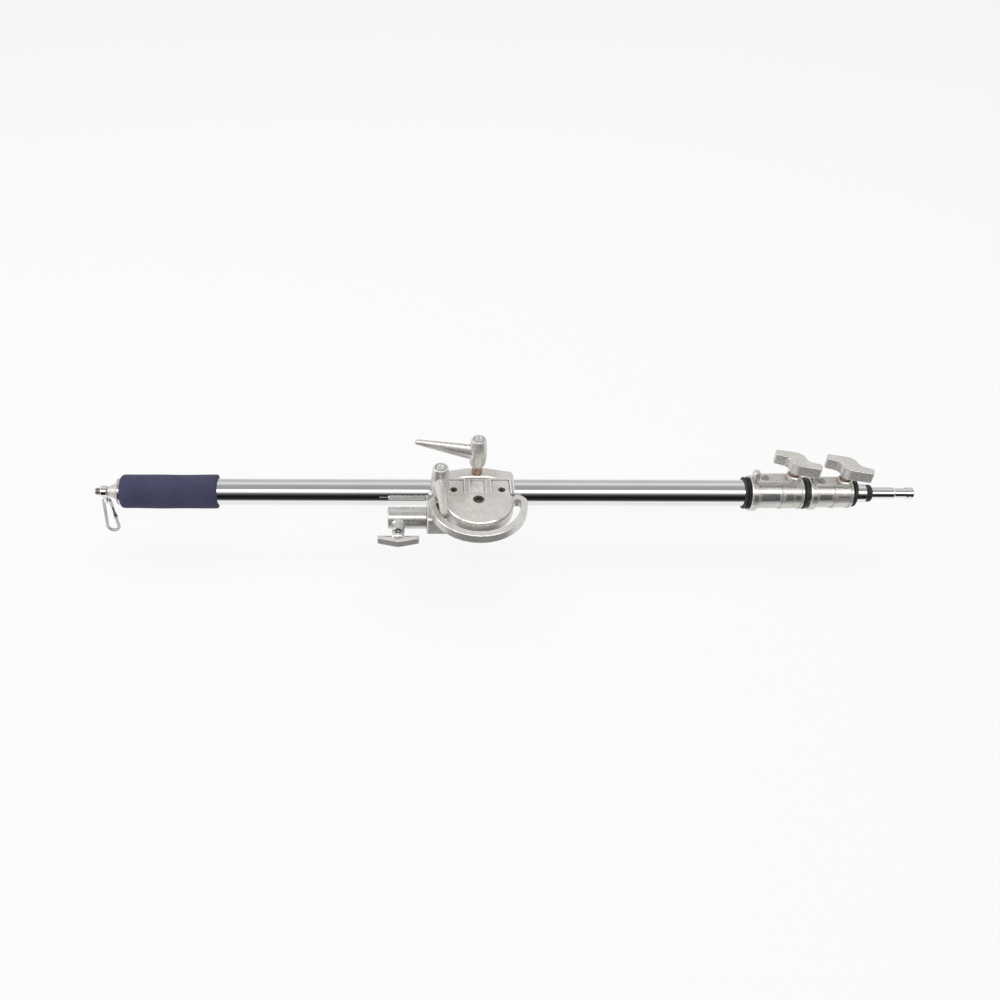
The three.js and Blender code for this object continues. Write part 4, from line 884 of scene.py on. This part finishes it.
def socket_parts(x, y, low, high, radius, socket, depth, shank=None, head=None):
    """Screw on Z: a turned head whose socket rows are pulled in to a hexagon by the angle's secant."""
    dome = 0.4 * MM
    rows = [(low, 0.02 * MM)]
    if shank is not None:
        rows += [(low, shank), (head, shank)]
    foot = head if shank is not None else low
    rows += [(foot, radius), (high - dome, radius), (high, max(radius - 1.6 * dome, socket * 1.12)),
             (high, socket), (high - depth, socket), (high - depth, 0.02 * MM)]
    profile = np.array(rows)
    points = turned_points(profile, SMALL_TURN_STEPS, (x, y, 0), (0, 0, 1))
    points = points.reshape(len(profile), SMALL_TURN_STEPS, 3)
    angle = np.linspace(0, 2 * math.pi, SMALL_TURN_STEPS, endpoint=False)
    hexagon = math.cos(math.pi / 6) / np.cos((angle + math.pi / 6) % (math.pi / 3) - math.pi / 6)
    centre = np.array([x, y])
    for row in (len(profile) - 3, len(profile) - 2):
        points[row, :, :2] = centre + (points[row, :, :2] - centre) * hexagon[:, None] * 1.1
    return points.reshape(-1, 3), capped_faces(len(profile), SMALL_TURN_STEPS)


def socket_screw_piece(node, head_height, shank, socket, depth):
    low, high = span(node)
    x, y, _ = middle(node)
    radius = (high[0] - low[0]) / 2
    parts = socket_parts(x, y, low[2], high[2], radius, socket, depth, shank, high[2] - head_height)
    joined_piece(node, [parts])


# Receiver: a satin tube with a bore, a neck and a welded boss

RECEIVER_R = 14 * MM
RECEIVER_BORE_R = 8.1 * MM
RECEIVER_BORE_DEPTH = 46 * MM
RECEIVER_LENGTH = 49 * MM
NECK_R = 10 * MM
NECK_LENGTH = 10 * MM


def receiver_piece():
    low, _ = span("receiver_tube")
    boss_x, axis_y, axis_z = JOINT_AT["t_handle_turn"]
    rear = low[0] + RECEIVER_LENGTH
    floor = low[0] + RECEIVER_BORE_DEPTH
    body = turned(softened([
        (floor, 0.1 * MM), (floor, RECEIVER_BORE_R), (low[0] + 0.5 * MM, RECEIVER_BORE_R),
        (low[0], 8.8 * MM), (low[0], 12.8 * MM), (low[0] + 1.4 * MM, RECEIVER_R), (rear, RECEIVER_R),
        (rear, NECK_R), (rear + NECK_LENGTH, NECK_R), (rear + NECK_LENGTH, 0.1 * MM)], 0.4 * MM),
        FINE_TURN_STEPS, (0, axis_y, axis_z), (1, 0, 0), False)
    start, end = 9.7 * MM, 27.2 * MM
    boss = turned(softened([
        (start, SCREW_BORE_R), (start, 9.3 * MM), (14 * MM, 9.3 * MM), (15.4 * MM, 8.2 * MM),
        (end - 1 * MM, 8 * MM),
        (end, 7.2 * MM), (end, SCREW_BORE_R)], 0.6 * MM, closed=True),
        TURN_STEPS, (0, 0, 0), (0, 0, 1), True)
    joined_piece("receiver_tube", [body] + placed([boss], TOWARDS_FRONT, (boss_x, axis_y, axis_z)),
                 material=TURNED_STEEL)


# Added faces: the milled floor of the head's channel, and dark patches that paint shade and dark reflection on
# the clamps' panels

def slab(x0, x1, y0, y1, z0, z1):
    """Closed box as points and faces."""
    points = np.array([(x, y, z) for x in (x0, x1) for y in (y0, y1) for z in (z0, z1)])
    faces = [[0, 1, 3, 2], [4, 6, 7, 5], [0, 4, 5, 1], [2, 3, 7, 6], [0, 2, 6, 4], [1, 5, 7, 3]]
    return points, faces


CHANNEL_HALF = 8.1 * MM
CHANNEL_FROM, CHANNEL_TO = 13.6 * MM, 37 * MM  # beyond the pivot
CHANNEL_FLOOR, CHANNEL_FACE = 29.7 * MM, 29.95 * MM


def channel_face_piece():
    x, y = middle("pivot_bolt")[:2]
    parts = [slab(x - CHANNEL_HALF, x + CHANNEL_HALF, y + CHANNEL_FROM, y + CHANNEL_TO,
                  CHANNEL_FLOOR, CHANNEL_FACE)]
    joined_piece("head_casting", parts, "head_channel_face", MILLED_FACE, added=True)


# Ribs beside the channel and at the outer edges of the panels: across from the pivot, and half width
RIB_PLACES = [(10.4, 1.35), (16.4, 1.25), (42, 1.2), (45.6, 1.1)]
RIB_FRONT, RIB_BACK = 11.4 * MM, 37.5 * MM  # beyond the pivot
HEAD_FACE = 32.4 * MM


def rib_beads_piece():
    """Raised ribs with round ends on the head's face: stadium outlines raised with rounded edges."""
    x, y = middle("pivot_bolt")[:2]
    parts = []
    for across, half in RIB_PLACES:
        turn = np.linspace(0, math.pi, 9)
        end = np.stack([np.cos(turn), np.sin(turn)], -1) * half * MM
        front, back = y + RIB_FRONT, y + RIB_BACK
        outline = np.concatenate([end + np.array([0, back]), -end + np.array([0, front])])
        for sign in (1, -1):
            rib = outline + np.array([x + sign * across * MM, 0])
            parts.append(raised_outline(rib, HEAD_FACE - 0.6 * MM, HEAD_FACE + 0.9 * MM, 0.65 * MM, 4))
    joined_piece("head_casting", parts, "head_ribs", added=True)


def curved_patch(x0, x1, radius, low_angle, high_angle):
    """Patch of a tube: station by angle from the top towards the front, with an inner and an outer skin."""
    thickness, steps = 0.3 * MM, 14
    angle = np.linspace(low_angle, high_angle, steps)
    ring = np.concatenate([
        np.stack([-np.sin(angle), np.cos(angle)], -1) * radius,
        np.stack([-np.sin(angle[::-1]), np.cos(angle[::-1])], -1) * (radius - thickness)])
    points = np.concatenate([
        np.concatenate([np.full((2 * steps, 1), x), ring + np.array([BOOM_Y, BOOM_Z])], 1) for x in (x0, x1)])
    return points, capped_faces(2, 2 * steps)


def clamp_shade_piece(node, radius, panels):
    """Dark patches along both sides of a clamp, each from and to a distance from its rear face: painted shade
    and dark reflection on its recessed panels.
    """
    rear = span(node)[0][0]
    parts = []
    for start, end, reach, low, high in panels:
        for sign in (1, -1):
            a, b = sorted((sign * math.radians(low), sign * math.radians(high)))
            parts.append(curved_patch(rear + start * MM, rear + end * MM, radius + reach * MM, a, b))
    joined_piece(node, parts, f"{node}_panels", PANEL_SHADE, added=True)


# Link

def link_piece():
    """Pear-shaped wire: two arcs joined by straight legs, with a round section carried along them."""
    low, high = span("hook_link")
    wire = 2.1 * MM
    top_r, foot_r = 4.5 * MM, 7.6 * MM
    x0 = middle("hook_eye")[0]
    top_z = high[2] - wire - top_r
    foot_z = low[2] + wire + foot_r
    lean = math.asin((foot_r - top_r) / (top_z - foot_z))

    def leg(share, side):
        start = np.array([top_r * math.cos(lean), top_z + top_r * math.sin(lean)])
        end = np.array([foot_r * math.cos(lean), foot_z + foot_r * math.sin(lean)])
        point = start + (end - start) * np.asarray(share)[:, None]
        return np.stack([x0 + side * point[:, 0], point[:, 1]], -1)

    def arc(radius, z, start, end, count):
        a = np.linspace(start, end, count)
        return np.stack([x0 + radius * np.cos(a), z + radius * np.sin(a)], -1)

    path = np.concatenate([
        leg(np.linspace(0.2, 0.02, 10), 1),
        arc(top_r, top_z, lean, math.pi - lean, 24),
        leg(np.linspace(0.03, 0.98, 40), -1),
        arc(foot_r, foot_z, math.pi - lean, 2 * math.pi + lean, 40),
        leg(np.linspace(0.98, 0.66, 16), 1),
    ])
    centre = np.stack([path[:, 0], np.full(len(path), BOOM_Y), path[:, 1]], -1)
    tangent = np.gradient(centre, axis=0)
    tangent /= np.linalg.norm(tangent, axis=1, keepdims=True)
    side = np.array([0, 1.0, 0])
    up = np.cross(tangent, side)
    sides = 24
    angle = np.linspace(0, 2 * math.pi, sides, endpoint=False)
    ring = np.cos(angle)[None, :, None] * side + np.sin(angle)[None, :, None] * up[:, None]
    points = (centre[:, None] + wire * ring).reshape(-1, 3)
    faces = capped_faces(len(path), sides)
    knuckle_at = leg(np.array([0.62]), 1)[0]
    lugs = []
    for end in (-1, 1):
        profile = softened([(1.95 * MM, 0.02 * MM), (1.95 * MM, 2.3 * MM), (2.7 * MM, 2.1 * MM),
                            (2.7 * MM, 0.02 * MM)], 0.2 * MM)
        profile[:, 0] *= end
        lugs.append(turned(profile, sides, (knuckle_at[0], BOOM_Y, knuckle_at[1]), (0, 1, 0), False))
    joined_piece("hook_link", [(points, faces)] + lugs, material=BRIGHT_WIRE)


def main():
    add_camera()
    add_floor()
    add_cards()
    add_lights()

    tube_piece("main_tube")
    tube_piece("section_2_tube")
    tube_piece("section_3_tube")
    grip_piece()
    stop_ring_piece()
    nose_band_piece("nose_band_1", "section_2_tube")
    nose_band_piece("nose_band_2", "section_3_tube")
    end_ring_piece()
    end_cap_piece()
    rear_stud_piece()
    spigot_piece()
    lever_piece("tube_lever", "tube_lever_turn", math.pi)
    lever_piece("tilt_lever", "tilt_lever_turn", math.radians(-88.3))
    cap_screw_piece("tube_lever_cap_screw", "tube_lever_turn")
    cap_screw_piece("tilt_lever_cap_screw", "tilt_lever_turn")
    knob_piece("wing_knob_1", "knob_1_turn")
    knob_piece("wing_knob_2", "knob_2_turn")
    t_handle_piece()
    receiver_piece()
    link_piece()
    socket_screw_piece("pivot_bolt", 5.4 * MM, 5 * MM, 5.1 * MM, 3.4 * MM)
    socket_screw_piece("pinch_screw_left", 4.6 * MM, 2.6 * MM, 2.7 * MM, 2.4 * MM)
    socket_screw_piece("pinch_screw_right", 4.6 * MM, 2.6 * MM, 2.7 * MM, 2.4 * MM)
    channel_face_piece()
    rib_beads_piece()
    # Painted shade and dark reflection on both clamps' panels.
    clamp_shade_piece("clamp_1_casting", 20 * MM, [
        (2.3, 7.3, 3.55, 56, 76), (12.8, 36.4, 0.06, 52, 80), (44.8, 54.3, 0.06, 55, 78),
        (56.3, 63.3, 0.06, 57, 76)])
    clamp_shade_piece("clamp_2_casting", 18.8 * MM, [
        (2, 7, 3.05, 60, 74), (12, 27.5, 0.06, 55, 77), (36, 50, 0.06, 62, 68)])

    replaced = {"main_tube", "section_2_tube", "section_3_tube", "foam_grip", "stop_ring", "nose_band_1",
                "nose_band_2", "tube_end_ring", "rear_end_cap", "rear_stud", "spigot", "tube_lever",
                "tilt_lever", "tube_lever_cap_screw", "tilt_lever_cap_screw", "wing_knob_1", "wing_knob_2",
                "t_handle", "receiver_tube", "hook_link", "pivot_bolt", "pinch_screw_left",
                "pinch_screw_right"}
    for node in BODY_OF:
        if node not in replaced:
            rounded_copy(node, CAST_EDGE.get(node, SMALL_EDGE), OWN_FINISH.get(node))


main()

bpy.context.scene.view_settings.view_transform = "Standard"
